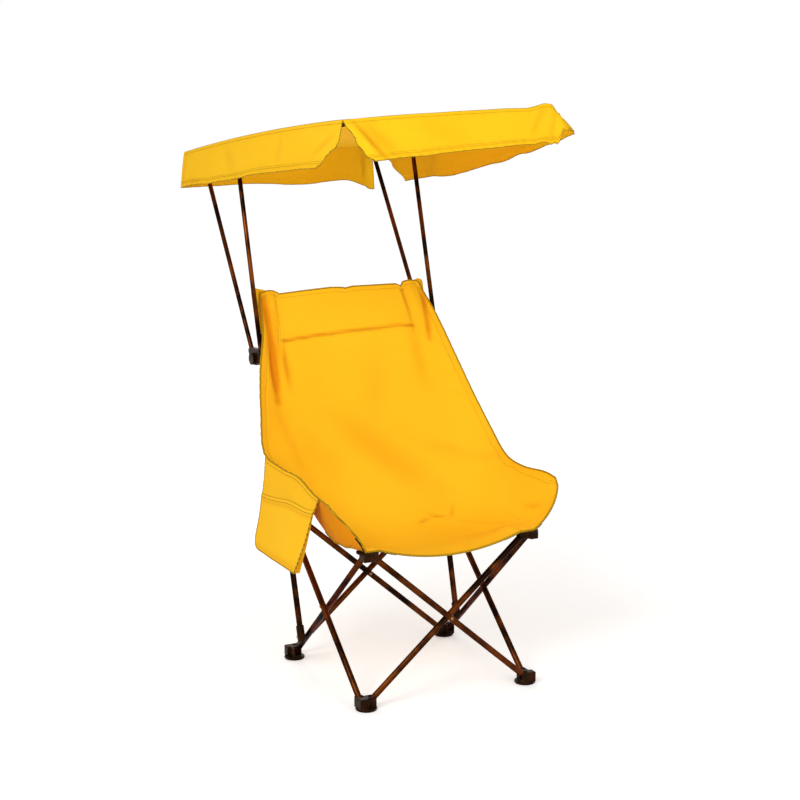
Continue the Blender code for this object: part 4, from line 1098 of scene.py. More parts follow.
@dataclass
class Sling:
    """The seat's cloth: three panels, their hems and stitching, and the pockets over the uprights."""

    cloth: float = 1.8 * MM
    hem: float = 20.0 * MM
    tape_radius: float = 2.5 * MM
    rows_per_station: int = 20
    columns: int = 160
    stations: int = 9
    splits: tuple[int, ...] = (0, 3, 6, 9)
    full_shade: float = 7.0 * MM
    # painted shade on the cloth's back face: a little behind the back panel, fully outside the wings
    back_lining: float = 0.30
    wing_lining: float = 1.0
    wing_seam: float = 0.79
    lap_rows: float = 8.0
    tunnel_reach: float = 1.3
    gather_step: float = 0.115
    gather_height: float = 1.1 * MM
    lap_start: float = 0.30
    lap_steps: int = 6
    # where the dark painted-shadow strands lie under the front edge
    webbing_span: tuple[float, float] = (0.79, 0.46)
    webbing_place: float = 8.965
    header_across: tuple[float, ...] = (-0.80, -0.345, 0.115, 0.565, 0.74)
    header_place: tuple[float, ...] = (1.27, 1.15, 1.10, 1.07, 1.12)
    edge_across: tuple[float, ...] = (
        -1.0, -0.90, -0.83, -0.775, -0.5, -0.135, 0.0, 0.05, 0.145, 0.6, 0.70, 0.755, 0.80, 0.88, 0.965, 1.0)
    edge_drop: tuple[float, ...] = (
        0.10, 0.04, 0.07, 0.18, 0.13, 0.08, 0.10, 0.13, 0.08, 0.09, 0.10, 0.19, 0.03, -0.02, 0.0, 0.09)
    left_tunnel: tuple[float, float] = (-0.825, -0.81)
    right_tunnel: tuple[float, float] = (0.755, 0.69)
    patch: float = 36.0 * MM
    patch_dome: float = 1.6 * MM

    # Each crease also lays painted shade along itself: its fifth value, 0.8 where none is given.
    creases: tuple[Crease, ...] = (
        Crease((0.25, -0.975), (2.7, -0.815), -15 * MM, 12 * MM, 1.0),
        Crease((0.20, -0.90), (2.3, -0.73), 6 * MM, 12 * MM),
        Crease((0.6, -0.86), (1.7, -0.80), -4 * MM, 6 * MM),
        Crease((1.40, -0.77), (2.4, -0.685), -5 * MM, 13 * MM),
        Crease((0.30, 0.99), (1.5, 0.825), -11 * MM, 8 * MM, 1.0),
        Crease((0.10, 0.86), (0.9, 0.80), 5 * MM, 16 * MM),
        Crease((0.15, 0.76), (0.85, 0.72), -4 * MM, 6 * MM),
        Crease((0.9, 0.70), (2.6, 0.62), -2.5 * MM, 16 * MM),
        Crease((1.5, 0.30), (3.4, 0.05), -2.5 * MM, 30 * MM, 0.3),
        Crease((3.0, -0.30), (4.95, 0.42), -8 * MM, 46 * MM, 0.28),
        Crease((3.2, -0.70), (4.6, -0.30), -5 * MM, 50 * MM, 0.22),
        Crease((3.6, 0.16), (4.8, 0.72), 8 * MM, 30 * MM),
        Crease((4.0, 0.56), (4.8, 0.95), -6 * MM, 18 * MM, 0.35),
        Crease((2.6, -0.86), (4.6, -0.62), -4 * MM, 22 * MM, 0.4),
        Crease((5.98, 0.13), (5.80, 0.26), -4.5 * MM, 6 * MM),
        Crease((5.80, 0.26), (5.84, 0.42), -4 * MM, 5 * MM),
        Crease((5.66, 0.25), (5.80, 0.36), -3.5 * MM, 5 * MM),
        Crease((5.95, 0.43), (5.55, 0.51), -4 * MM, 5 * MM),
        Crease((6.10, 0.50), (7.0, 0.73), -3 * MM, 6 * MM),
        Crease((6.9, 0.86), (7.9, 0.90), -3 * MM, 9 * MM),
        Crease((7.2, -0.80), (8.4, -0.62), -4 * MM, 9 * MM),
    )

    def __post_init__(self) -> None:
        """Work out the sling's grid once."""
        self.shape = SlingShape()
        steps = self.stations * self.rows_per_station + 1
        across = np.linspace(-1.0, 1.0, self.columns + 1)
        self.place, self.across = np.meshgrid(np.linspace(0.0, self.stations, steps), across, indexing="ij")
        drop = np.interp(self.across, self.edge_across, self.edge_drop)
        lowered = self.place + drop * unit(1.0 - self.place)
        plain = self.shape.points(lowered, self.across)
        normals = grid_normals(plain)
        self.flat = arc_places(plain)
        lift, self.fold = self.lifts(plain)
        self.grid = plain + normals * lift[..., None]
        self.normals = grid_normals(self.grid)

    def lifts(self, plain: np.ndarray) -> tuple[np.ndarray, np.ndarray]:
        """How far each point of the grid leaves the plain surface along its normal, and how much painted shade it
        gets.

        Args:
            plain: The plain grid.

        Returns:
            The lifts, and the painted shade from 0 to 1.
        """
        lift, fold = creased(self.creases, plain, self.shape.point, self.full_shade)
        slack = unit(1.0 - self.place / 6.6)
        lift += cloth_noise(plain, 0.16, 3.1) * 3.2 * MM * slack
        lift += cloth_noise(plain, 0.045, 7.7) * 0.8 * MM * np.clip(7.2 - self.place, 0.15, 1.0)
        from_rim = self.rim_distance(plain)
        beside = np.exp(-(from_rim / self.hem) ** 2)
        wander = cloth_noise(plain, 0.05, 5.3) * 1.6
        lift += np.sin(self.along_rim(plain) / (4.2 * MM) + wander * 2.0) * beside * 0.7 * MM
        lift -= 1.4 * MM * np.exp(-((from_rim - self.hem * 0.8) / (3.0 * MM)) ** 2)
        header_lift, header_painted_shade = self.header()
        # painted shade: darker along the left rim of the back, beside both hems and in the header's groove
        left = np.clip(-self.across - 0.72, 0.0, 0.28) / 0.28 * unit(4.5 - self.place)
        fold += 0.30 * left + 0.10 * beside + header_painted_shade
        return lift + header_lift + self.seams(), unit(fold)

    def seams(self) -> np.ndarray:
        """The furrows along the sewn lines of the tunnels, with gathers beside them."""
        total = np.zeros(self.place.shape)
        for ends in (self.left_tunnel, self.right_tunnel):
            line = ends[0] + (ends[1] - ends[0]) * unit(self.place / self.tunnel_reach)
            gap = (self.across - line) * self.shape.half_width * 0.75
            reach = unit((1.35 - self.place) / 0.15)
            waves = np.sin(self.place * 2 * math.pi / self.gather_step)
            gathers = waves * np.exp(-(gap / (11.0 * MM)) ** 2) * self.gather_height
            total += (gathers - 2.0 * MM * np.exp(-(gap / (3.0 * MM)) ** 2)) * reach
        return total

    def rim_distance(self, plain: np.ndarray) -> np.ndarray:
        """How far each point is from the nearest side rim."""
        to_left = np.linalg.norm(plain - plain[:, :1], axis=-1)
        to_right = np.linalg.norm(plain - plain[:, -1:], axis=-1)
        return np.minimum(to_left, to_right)

    def along_rim(self, plain: np.ndarray) -> np.ndarray:
        """How far down the nearer rim each row lies."""
        steps = np.linalg.norm(np.diff(plain[:, 0], axis=0), axis=-1)
        reach = np.concatenate([[0.0], np.cumsum(steps)])
        return np.repeat(reach[:, None], plain.shape[1], axis=1)

    def header(self) -> tuple[np.ndarray, np.ndarray]:
        """The tuck along the foot of the header: a groove under a soft ridge, and the painted shade in the groove.
        """
        line = np.interp(self.across, self.header_across, self.header_place)
        gap = (self.place - line) * 0.11
        ends = (self.header_across[0], self.header_across[-1])
        reach = unit(np.minimum(self.across - ends[0], ends[1] - self.across) / 0.04)
        groove = np.exp(-(gap / (3.5 * MM)) ** 2)
        ridge = np.exp(-((gap + 8.0 * MM) / (5.5 * MM)) ** 2)
        return (2.6 * MM * ridge - 4.0 * MM * groove) * reach, 0.9 * groove * reach

    def build(self, finishes: Finishes) -> None:
        """Make the panels, their trim, the top pockets and the corner patches."""
        bodies = ("left_upright", "sling_seat", "sling_front")
        names = ("sling_back", "sling_seat", "sling_front")
        for index, (name, body) in enumerate(zip(names, bodies)):
            first = self.splits[index] * self.rows_per_station
            last = self.splits[index + 1] * self.rows_per_station
            rows = slice(first, last + 1)
            lap = self.lap_reach() if index == 0 else np.zeros(self.columns + 1)
            points, flat, normals, fold, rear_face_painted_shade = self.lapped(rows, lap)
            panel = grid_mesh(name + "_cloth", points, flat, self.cloth, normals, fold[..., 0], rear_face_painted_shade[..., 0])
            dress(panel, finishes.seat, Slot.SEAT, body, [name])
            trim = [self.tape(name, rows, body, finishes), self.stitches(name, rows, body, finishes)]
            if rows.stop == self.grid.shape[0]:
                fold_squash(self.webbing(body, finishes))
            row = float(self.flat[last, 0, 1] - self.flat[last - 1, 0, 1])
            widths = self.flat[rows, -1, 0] - self.flat[rows, 0, 0]
            area = float(np.trapz(widths, self.flat[rows, 0, 1]) + np.trapz(lap, self.flat[last, :, 0]) * row)
            for piece in (panel, *trim):
                fold_squash(piece)
        for side in Side:
            self.top_pocket(side, finishes)
            self.corner_patch(side, finishes)

    def lap_reach(self) -> np.ndarray:
        """How many rows the back goes on behind the seat in each column: most at the rims."""
        across = np.abs(np.linspace(-1.0, 1.0, self.columns + 1))
        return 0.5 + self.lap_rows * np.sin(unit((across - self.lap_start) / 0.55) * math.pi / 2) ** 2

    def back_tone(self) -> np.ndarray:
        """How much painted shade the cloth's back face gets: a little behind the back panel, most outside the wings.
        """
        share = unit((self.place - 4.5) / 2.0) * unit((np.abs(self.across) - 0.35) / 0.3)
        return self.back_lining + (self.wing_lining - self.back_lining) * share

    def lapped(self, rows: slice, lap: np.ndarray) -> list[np.ndarray]:
        """Read one panel's part of the grid, and let it go on behind the next panel.

        Args:
            rows: Its rows in the grid.
            lap: How many rows further each column goes, or zeros.

        Returns:
            The points, the flat places, the normals, the painted shade and the back face's painted shade.
        """
        # painted shade of the back face, carried along with the panel
        tone = np.broadcast_to(self.back_tone(), self.fold.shape)
        sheets = (self.grid, self.flat, self.normals, self.fold[..., None], tone[..., None])
        if not lap.any():
            return [sheet[rows] for sheet in sheets]
        reach = (rows.stop - 1) + lap * np.linspace(0.0, 1.0, self.lap_steps + 1)[1:, None]
        row = np.floor(reach).astype(int)
        share = (reach - row)[..., None]
        column = np.broadcast_to(np.arange(self.columns + 1), reach.shape)
        made = [np.concatenate([sheet[rows], sheet[row, column] * (1.0 - share) + sheet[row + 1, column] * share])
                for sheet in sheets]
        behind = rows.stop - rows.start
        made[0][behind:] -= made[2][behind:] * (self.cloth + 0.8 * MM)
        return made

    def tape(self, name: str, rows: slice, body: str, finishes: Finishes) -> bpy.types.Object:
        """Make the edge tape of one panel: both rims, and the top or front edge.

        Args:
            name: The panel.
            rows: Its rows in the grid.
            body: The body that it rides on.
            finishes: The materials.

        Returns:
            The tape.
        """
        left, right = self.grid[rows, 0], self.grid[rows, -1]
        strands = [left, right]
        if rows.start == 0:
            strands = [np.concatenate([left[::-1], self.grid[0, 1:-1], right])]
        elif rows.stop == self.grid.shape[0]:
            strands = [np.concatenate([left, self.grid[-1, 1:-1], right[::-1]])]
            under = self.grid - self.normals * (self.cloth / 2 + 0.6 * MM)
            places = np.linspace(6.6, 8.55, 60)
            strands += [self.traced(under, places, np.full_like(places, side.out * self.wing_seam)) for side in Side]
        parts = [path_tube(f"{name}_tape_{index}", strand, self.tape_radius) for index, strand in enumerate(strands)]
        return dress(join_items(name + "_tape", parts), finishes.tape, Slot.SEAT, body)

    def webbing(self, body: str, finishes: Finishes) -> bpy.types.Object:
        """Make the dark strands under the cloth's front edge beside both front hubs: painted shadow, standing in for
        the shadow under that edge.

        Args:
            body: The body that it rides on.
            finishes: The materials.

        Returns:
            The webbing.
        """
        # painted shadow: dark strands under the front edge where the shadow lies
        under = self.grid - self.normals * (self.cloth / 2 + 1.2 * MM)
        parts = []
        for side in Side:
            across = np.linspace(*self.webbing_span, 40) * side.out
            path = self.traced(under, np.full_like(across, self.webbing_place), across)
            parts.append(path_tube("webbing_" + side.value, path, 2.0 * MM))
        return dress(join_items("sling_front_edge_shadow", parts), finishes.plastic, Slot.SEAT, body)

    def stitches(self, name: str, rows: slice, body: str, finishes: Finishes) -> bpy.types.Object:
        """Sew the hems of one panel, and the header and tunnels of the top one.

        Args:
            name: The panel.
            rows: Its rows in the grid.
            body: The body that it rides on.
            finishes: The materials.

        Returns:
            The stitching.
        """
        face = self.grid + self.normals * (self.cloth / 2)
        paths = []
        widths = np.linalg.norm(np.diff(self.grid, axis=1), axis=-1)
        for step in (1, -1):
            line = []
            for row in range(rows.start, rows.stop):
                reach = np.cumsum(widths[row][::step])
                column = int(np.searchsorted(reach, self.hem * 0.8)) + 1
                line.append(face[row, column if step == 1 else -1 - column])
            paths.append(np.array(line))
        if rows.stop == self.grid.shape[0]:
            paths.append(face[-1 - self.rows_per_station // 5, 3:-3])
        if rows.start == 0:
            paths.append(face[3, 3:-3])
            ends = np.linspace(self.header_across[0], self.header_across[-1], 100)
            rests = np.interp(ends, self.header_across, self.header_place) + 0.04
            paths.append(self.traced(face, rests, ends))
            down = np.linspace(0.08, 1.3, 60)
            for start, end in (self.left_tunnel, self.right_tunnel):
                for offset in (-0.008, 0.012):
                    paths.append(self.traced(face, down, start + (end - start) * down / 1.3 + offset))
        item = Stitching().sew(name + "_stitches", paths)
        return dress(item, finishes.thread, Slot.SEAT, body)

    def traced(self, face: np.ndarray, place: np.ndarray, across: np.ndarray) -> np.ndarray:
        """Read a line of points on the sling's face.

        Args:
            face: The grid's face points.
            place: The line's stations.
            across: Its places across.

        Returns:
            The points.
        """
        row = np.clip(np.round(place * self.rows_per_station).astype(int), 0, face.shape[0] - 1)
        reach = (across + 1.0) / 2.0 * self.columns
        column = np.clip(np.floor(reach).astype(int), 0, self.columns - 1)
        share = (reach - column)[:, None]
        return face[row, column] * (1.0 - share) + face[row, column + 1] * share

    def top_pocket(self, side: Side, finishes: Finishes) -> None:
        """Make the sewn pocket over the top of an upright: a sleeve closed in a gathered dome.

        Args:
            side: The chair's side.
            finishes: The materials.
        """
        low, high = ring_axis(side.value + "_upright")
        node = side.value + "_top_pocket"
        run = (high - low).normalized()
        back = run.cross(Vector((1.0, 0.0, 0.0))).normalized()
        over = back.cross(run)
        top = high + run * 7.0 * MM
        rings, turns = 30, 64
        height, outer, inner, thick = 0.128, 12.2 * MM, 50.0 * MM, 12.6 * MM
        points = np.zeros((rings, turns, 3))
        for ring in range(rings):
            share = ring / (rings - 1)
            closing = min(1.0, math.sqrt(max(0.0, 1.0 - (1.0 - min(share / 0.10, 1.0)) ** 2)) + 0.02)
            for turn in range(turns):
                angle = 2 * math.pi * turn / turns
                gather = 1.0 + 0.035 * math.sin(angle * 13 + share * 3.0) * (1.0 - share)
                x = math.copysign(abs(math.cos(angle)) ** 0.7, math.cos(angle))
                y = math.copysign(abs(math.sin(angle)) ** 0.8, math.sin(angle))
                inward = max(0.0, -x * side.out)
                reach = outer if x * side.out > 0 else inner
                lean = run * (-9.0 * MM * inward ** 2 * (1.0 - share))
                point = (top - run * (height * share) + lean
                         + over * (x * reach * closing * gather)
                         + back * (y * thick * (1.0 - 0.55 * inward) * closing * gather))
                points[ring, turn] = point
        points = np.concatenate([points, points[:, :1]], axis=1)
        item = grid_mesh(node + "_cloth", points, arc_places(points), self.cloth)
        apply_step(item, "WELD", merge_threshold=0.02 * MM)
        dress(item, finishes.seat, Slot.SEAT, NODE_BODY[node], [node])

    def corner_patch(self, side: Side, finishes: Finishes) -> None:
        """Make the doubled cloth patch that covers the washer at a front corner.

        Args:
            side: The chair's side.
            finishes: The materials.
        """
        node = f"front_{side.value}_corner_washer"
        low, high = (np.array(corner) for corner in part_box(node))
        centre = (low + high) / 2
        steps = np.linspace(-0.5, 0.5, 25)
        over, back = np.meshgrid(steps, steps)
        reach = np.hypot(over, back) * self.patch
        dome = eased(unit((0.5 * self.patch - reach) / (6.0 * MM)))
        level = self.shape.roof_z + self.shape.gap + self.shape.cad_cloth / 2 + self.cloth + 0.2 * MM
        points = np.stack([centre[0] + over * self.patch, centre[1] + back * self.patch,
                           level + dome * self.patch_dome], axis=-1)
        item = grid_mesh(f"front_{side.value}_corner_patch", points, arc_places(points), self.cloth * 0.7)
        dress(item, finishes.seat, Slot.SEAT, NODE_BODY[node], [node])


def fold_squash(item: bpy.types.Object) -> None:
    """Give a cloth piece its own copy of its mesh."""
    anchor = ring_axis("left_upright")[0]
    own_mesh(item)


# Canopy cover


@dataclass(frozen=True)
class Profile:
    """A size that changes along an edge: values at some places from 0 to 1, joined smoothly."""

    at: tuple[float, ...]
    values: tuple[float, ...]

    def read(self, share: np.ndarray) -> np.ndarray:
        """Read the profile.

        Args:
            share: Places from 0 to 1.

        Returns:
            The values there.
        """
        places = np.array(self.at)
        index = np.clip(np.searchsorted(places, share, side="right") - 1, 0, len(places) - 2)
        part = unit((share - places[index]) / (places[index + 1] - places[index]))
        part = eased(part)
        values = np.array(self.values)
        return values[index] + (values[index + 1] - values[index]) * part


@dataclass(frozen=True)
class Flap:
    """One flap of the cover, hung between two corners of its top panel.

    A cut profile says how far the flap's end draws back from the corner on the way down. Where an end
    is joined to the next flap, the profile is negative: it leans out with that flap.
    """

    name: str
    edge: Callable[[np.ndarray], np.ndarray]
    run: Vector
    outward: Vector
    length: float
    start_cut: Profile
    end_cut: Profile
    depth: Profile
    flare: Profile
    creases: tuple[Crease, ...] = ()
    seed: float = 0.0
    wave: float = 4.0 * MM
    ripple: float = 1.1 * MM
    full_shade: float = 5.0 * MM
    lean: float = 0.72

    def plain(self, across: np.ndarray, down: np.ndarray) -> np.ndarray:
        """Find points of the flap without its folds.

        Args:
            across: From the start corner to the end corner, 0 to 1.
            down: From the top edge to the hem, 0 to 1.

        Returns:
            The points.
        """
        first = self.drawn_back(self.start_cut, down)
        last = self.length - self.drawn_back(self.end_cut, down)
        along = first + (last - first) * across
        share = unit(along / self.length)
        base = self.edge(share) + (along - share * self.length)[..., None] * np.array(self.run)
        drop = self.depth.read(across) * down
        out = self.flare.read(across) * down ** self.lean
        return base + out[..., None] * np.array(self.outward) - drop[..., None] * np.array((0.0, 0.0, 1.0))

    def drawn_back(self, cut: Profile, down: np.ndarray) -> np.ndarray:
        """How far an end draws back from its corner; a joined one leans with its neighbour."""
        return cut.read(down) if cut.values[-1] > 0 else cut.values[-1] * down ** self.lean

    def made(self, across: np.ndarray, down: np.ndarray) -> tuple[np.ndarray, np.ndarray]:
        """Find points of the flap and the painted shade there.

        Args:
            across: From the start corner to the end corner, 0 to 1.
            down: From the top edge to the hem, 0 to 1.

        Returns:
            The points, and the painted shade from 0 to 1.
        """
        points = self.plain(across, down)
        lift, fold = creased(self.creases, points, self.locate, self.full_shade)
        inside = unit(np.minimum(across, 1.0 - across) / 0.05)
        slow = self.noise(across, down, 0.13) * self.wave * down
        hem = np.exp(-((1.0 - down) / 0.16) ** 2)
        seam = np.exp(-(down / 0.14) ** 2) * unit(down / 0.05)
        wander = self.noise(across, down * 0.0, 0.06) * 2.5
        fast = np.sin(across * self.length / (5.2 * MM) + wander) * (hem + 0.6 * seam) * self.ripple
        furrow = -1.2 * MM * np.exp(-((down - 0.86) / 0.03) ** 2)
        lift = (lift + slow + fast + furrow) * inside
        level = self.noise(across, down * 0.0, 0.07) * 1.6 * MM * down ** 3 * inside
        points = points + lift[..., None] * np.array(self.outward)
        points[..., 2] += level
        # painted shade in the creases, along the hem and under the top seam
        return points, unit(fold + 0.18 * hem + 0.10 * seam)

    def locate(self, across: float, down: float) -> np.ndarray:
        """One point of the flap without its folds."""
        return self.plain(np.array(across), np.array(down))

    def noise(self, across: np.ndarray, down: np.ndarray, size: float) -> np.ndarray:
        """Slow noise over the flap's own flat places."""
        flat = np.stack([across * self.length, down * 0.1, np.full_like(across, self.seed)], axis=-1)
        spread = flat.reshape(-1, 1, 3) if flat.ndim == 2 else flat
        return cloth_noise(spread, size, self.seed).reshape(across.shape)


@dataclass
class Cover:
    """The canopy's cloth: a top panel and four flaps with hems, tape and stitching."""

    cloth: float = 1.4 * MM
    front_y: float = -0.255
    rear_y: float = 0.825
    rear_z: float = 1.357
    front_z_left: float = 1.483
    front_z_right: float = 1.511
    left_x: float = -0.2961
    right_x: float = 0.3030
    sag: float = 0.007
    left_bow: float = 0.011
    tape_radius: float = 1.3 * MM
    piping_radius: float = 0.9 * MM
    columns: int = 100
    flap_rows: int = 24
    front_edge: Profile = Profile((0.0, 0.25, 0.48, 0.71, 0.86, 0.930, 0.955, 1.0),
                                  (0.0, 0.0015, 0.0, -0.0018, -0.0048, 0.0035, 0.001, -0.024))
    right_droop: Profile = Profile((0.0, 0.972, 1.0), (0.0, 0.0, -0.006))

    def __post_init__(self) -> None:
        """Describe the flaps."""
        width, length = self.right_x - self.left_x, self.rear_y - self.front_y
        slope = math.hypot(length, self.front_z_right - self.rear_z)
        front, rear = Vector((0.0, -1.0, 0.0)), Vector((0.0, 1.0, 0.0))
        left, right = Vector((-1.0, 0.0, 0.0)), Vector((1.0, 0.0, 0.0))
        one = np.ones_like
        self.flaps = (
            Flap("front", lambda share: self.top(share, one(share) * 0.0), right, front, width,
                 Profile((0.0, 0.5, 0.85, 1.0), (0.0, 0.028, 0.050, 0.074)), Profile((0.0, 1.0), (0.0, -0.008)),
                 Profile((0.0, 0.24, 0.37, 0.6, 0.79, 0.86, 0.93, 0.955, 1.0),
                         (0.102, 0.101, 0.0967, 0.0932, 0.0893, 0.091, 0.099, 0.088, 0.040)),
                 Profile((0.0, 0.1, 1.0), (0.020, 0.015, 0.014)), (
                     Crease((0.012, 0.0), (0.030, 1.0), 4 * MM, 7 * MM),
                     Crease((0.036, 0.0), (0.072, 1.0), -5 * MM, 6 * MM),
                     Crease((0.07, 0.05), (0.15, 0.95), -3 * MM, 20 * MM, 0.7),
                     Crease((0.94, 0.0), (0.83, 0.8), -3 * MM, 9 * MM, 0.5),
                     Crease((0.97, 0.2), (0.93, 0.95), -2.5 * MM, 6 * MM, 0.6),
                     Crease((0.30, 0.15), (0.55, 0.8), -2 * MM, 26 * MM, 0.4)), 1.7),
            Flap("right", lambda share: self.top(one(share), share), rear, right, slope,
                 Profile((0.0, 1.0), (0.0, -0.014)), Profile((0.0, 0.5, 1.0), (0.0, 0.125, 0.200)),
                 Profile((0.0, 0.05, 0.135, 0.25, 0.38, 0.70, 0.82, 1.0),
                         (0.040, 0.055, 0.077, 0.096, 0.109, 0.121, 0.113, 0.113)),
                 Profile((0.0, 0.022, 0.055, 0.14, 0.28, 1.0), (0.008, 0.048, 0.066, 0.046, 0.020, 0.014)), (
                     Crease((0.02, 0.1), (0.05, 0.95), -4 * MM, 7 * MM),
                     Crease((0.60, 0.1), (0.80, 0.9), -3 * MM, 18 * MM, 0.5)), 4.1),
            Flap("rear", lambda share: self.top(one(share) - share, one(share)), left, rear, width,
                 Profile((0.0, 1.0), (0.0, -0.016)), Profile((0.0, 1.0), (0.0, -0.012)),
                 Profile((0.0, 0.16, 0.36, 0.68, 1.0), (0.122, 0.096, 0.105, 0.098, 0.101)),
                 Profile((0.0, 0.8, 1.0), (0.016, 0.014, 0.004)), (
                     Crease((0.055, 0.1), (0.06, 0.95), -4 * MM, 7 * MM),
                     Crease((0.90, 0.1), (0.96, 0.95), -3 * MM, 9 * MM, 0.5)), 6.3),
            Flap("left", lambda share: self.top(one(share) * 0.0, one(share) - share), front, left, slope,
                 Profile((0.0, 1.0), (0.0, -0.004)),
                 Profile((0.0, 0.2, 0.4, 0.58, 0.68, 0.8, 0.9, 1.0),
                         (0.0, 0.0, 0.002, 0.016, 0.050, 0.078, 0.092, 0.125)),
                 Profile((0.0, 0.05, 0.25, 0.42, 0.58, 1.0), (0.101, 0.100, 0.109, 0.111, 0.108, 0.110)),
                 Profile((0.0, 0.1, 1.0), (0.012, 0.016, 0.016)), (
                     Crease((0.018, 0.0), (0.016, 1.0), -3.5 * MM, 6 * MM),
                     Crease((0.05, 0.85), (0.16, 0.93), -3 * MM, 7 * MM, 0.6),
                     Crease((0.30, 0.1), (0.42, 0.85), -2.5 * MM, 22 * MM, 0.4),
                     Crease((0.66, 0.15), (0.72, 0.9), -2.5 * MM, 20 * MM, 0.4),
                     Crease((0.97, 0.25), (0.90, 0.80), -3 * MM, 9 * MM, 0.5)), 9.2),
        )

    def top(self, across: np.ndarray, back: np.ndarray) -> np.ndarray:
        """Find points of the top panel.

        Args:
            across: From the left edge to the right one, 0 to 1.
            back: From the front edge to the rear one, 0 to 1.

        Returns:
            The points.
        """
        front_z = self.front_z_left + (self.front_z_right - self.front_z_left) * across
        height = front_z + (self.rear_z - front_z) * back
        height = height - self.sag * (np.sin(math.pi * across) * np.sin(math.pi * back)) ** 2
        height = height + self.left_bow * np.sin(math.pi * back) ** 0.8 * (1.0 - across) ** 4
        height = height + self.front_edge.read(across) * (1.0 - back) ** 12
        height = height + self.right_droop.read(across) * (1.0 - (1.0 - back) ** 12)
        return np.stack([
            BASE.x + self.left_x + (self.right_x - self.left_x) * across,
            BASE.y + self.front_y + (self.rear_y - self.front_y) * back,
            height], axis=-1)

    def build(self, finishes: Finishes) -> None:
        """Make the cover, its edge tape and its stitching."""
        body = NODE_BODY["canopy_cover"]
        line = np.linspace(0.0, 1.0, self.columns + 1)
        across, back = np.meshgrid(line, line)
        top = self.top(across, back)
        inner = unit(np.minimum(np.minimum(across, 1 - across), np.minimum(back, 1 - back)) / 0.04)
        top[..., 2] += cloth_noise(top, 0.15, 2.2) * 1.8 * MM * inner
        # painted shade of each sheet; the top panel gets none
        sheets, painted_shades = [top], [np.zeros(top.shape[:2])]
        for flap in self.flaps:
            share, down = np.meshgrid(line, np.linspace(0.0, 1.0, self.flap_rows + 1))
            points, fold = flap.made(share, down)
            sheets.append(points)
            painted_shades.append(fold)
        item = join_grids("canopy_cover_cloth", sheets, painted_shades)
        apply_step(item, "WELD", merge_threshold=0.4 * MM)
        apply_step(item, "SOLIDIFY", thickness=self.cloth, offset=0.0)
        smooth(item, 60)
        dress(item, finishes.cover, Slot.COVER, body, ["canopy_cover"])
        trim = self.trim(finishes, body)
        sheet_area(sheets)
        for piece in (item, *trim):
            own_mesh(piece)

    def trim(self, finishes: Finishes, body: str) -> list[bpy.types.Object]:
        """Make the tape along the free edges, the piping along the top edges and the stitching.

        Args:
            finishes: The materials.
            body: The body that they ride on.

        Returns:
            The tape and the stitching.
        """
        parts, lines = [], []
        share = np.linspace(0.0, 1.0, self.columns * 2)
        sides = np.linspace(0.0, 1.0, self.flap_rows * 2)
        for flap in self.flaps:
            pieces = [flap.made(share, np.ones_like(share))[0]]
            if flap.start_cut.values[-1] > 0 or flap.name == "rear":
                pieces.insert(0, flap.made(np.zeros_like(sides), sides)[0][1:-1])
            if flap.end_cut.values[-1] > 0:
                pieces.append(flap.made(np.ones_like(sides), sides[::-1])[0][1:-1])
            parts.append(path_tube(f"cover_tape_{flap.name}", np.concatenate(pieces), self.tape_radius, 1))
            upper = flap.made(share, np.zeros_like(share))[0]
            parts.append(path_tube(f"cover_piping_{flap.name}", upper, self.piping_radius, 1))
            off = np.array(flap.outward) * self.cloth * 0.7
            for level in (0.855, 0.90):
                lines.append(flap.made(share, np.full_like(share, level))[0] + off)
            lines.append(flap.made(share, np.full_like(share, 0.075))[0] + off)
        tape = dress(join_items("canopy_cover_tape", parts), finishes.tape, Slot.COVER, body)
        stitches = dress(Stitching(6.0 * MM, 3.8 * MM, 0.5 * MM).sew("canopy_cover_stitches", lines),
                         finishes.thread, Slot.COVER, body)
        return [tape, stitches]


# Side pocket


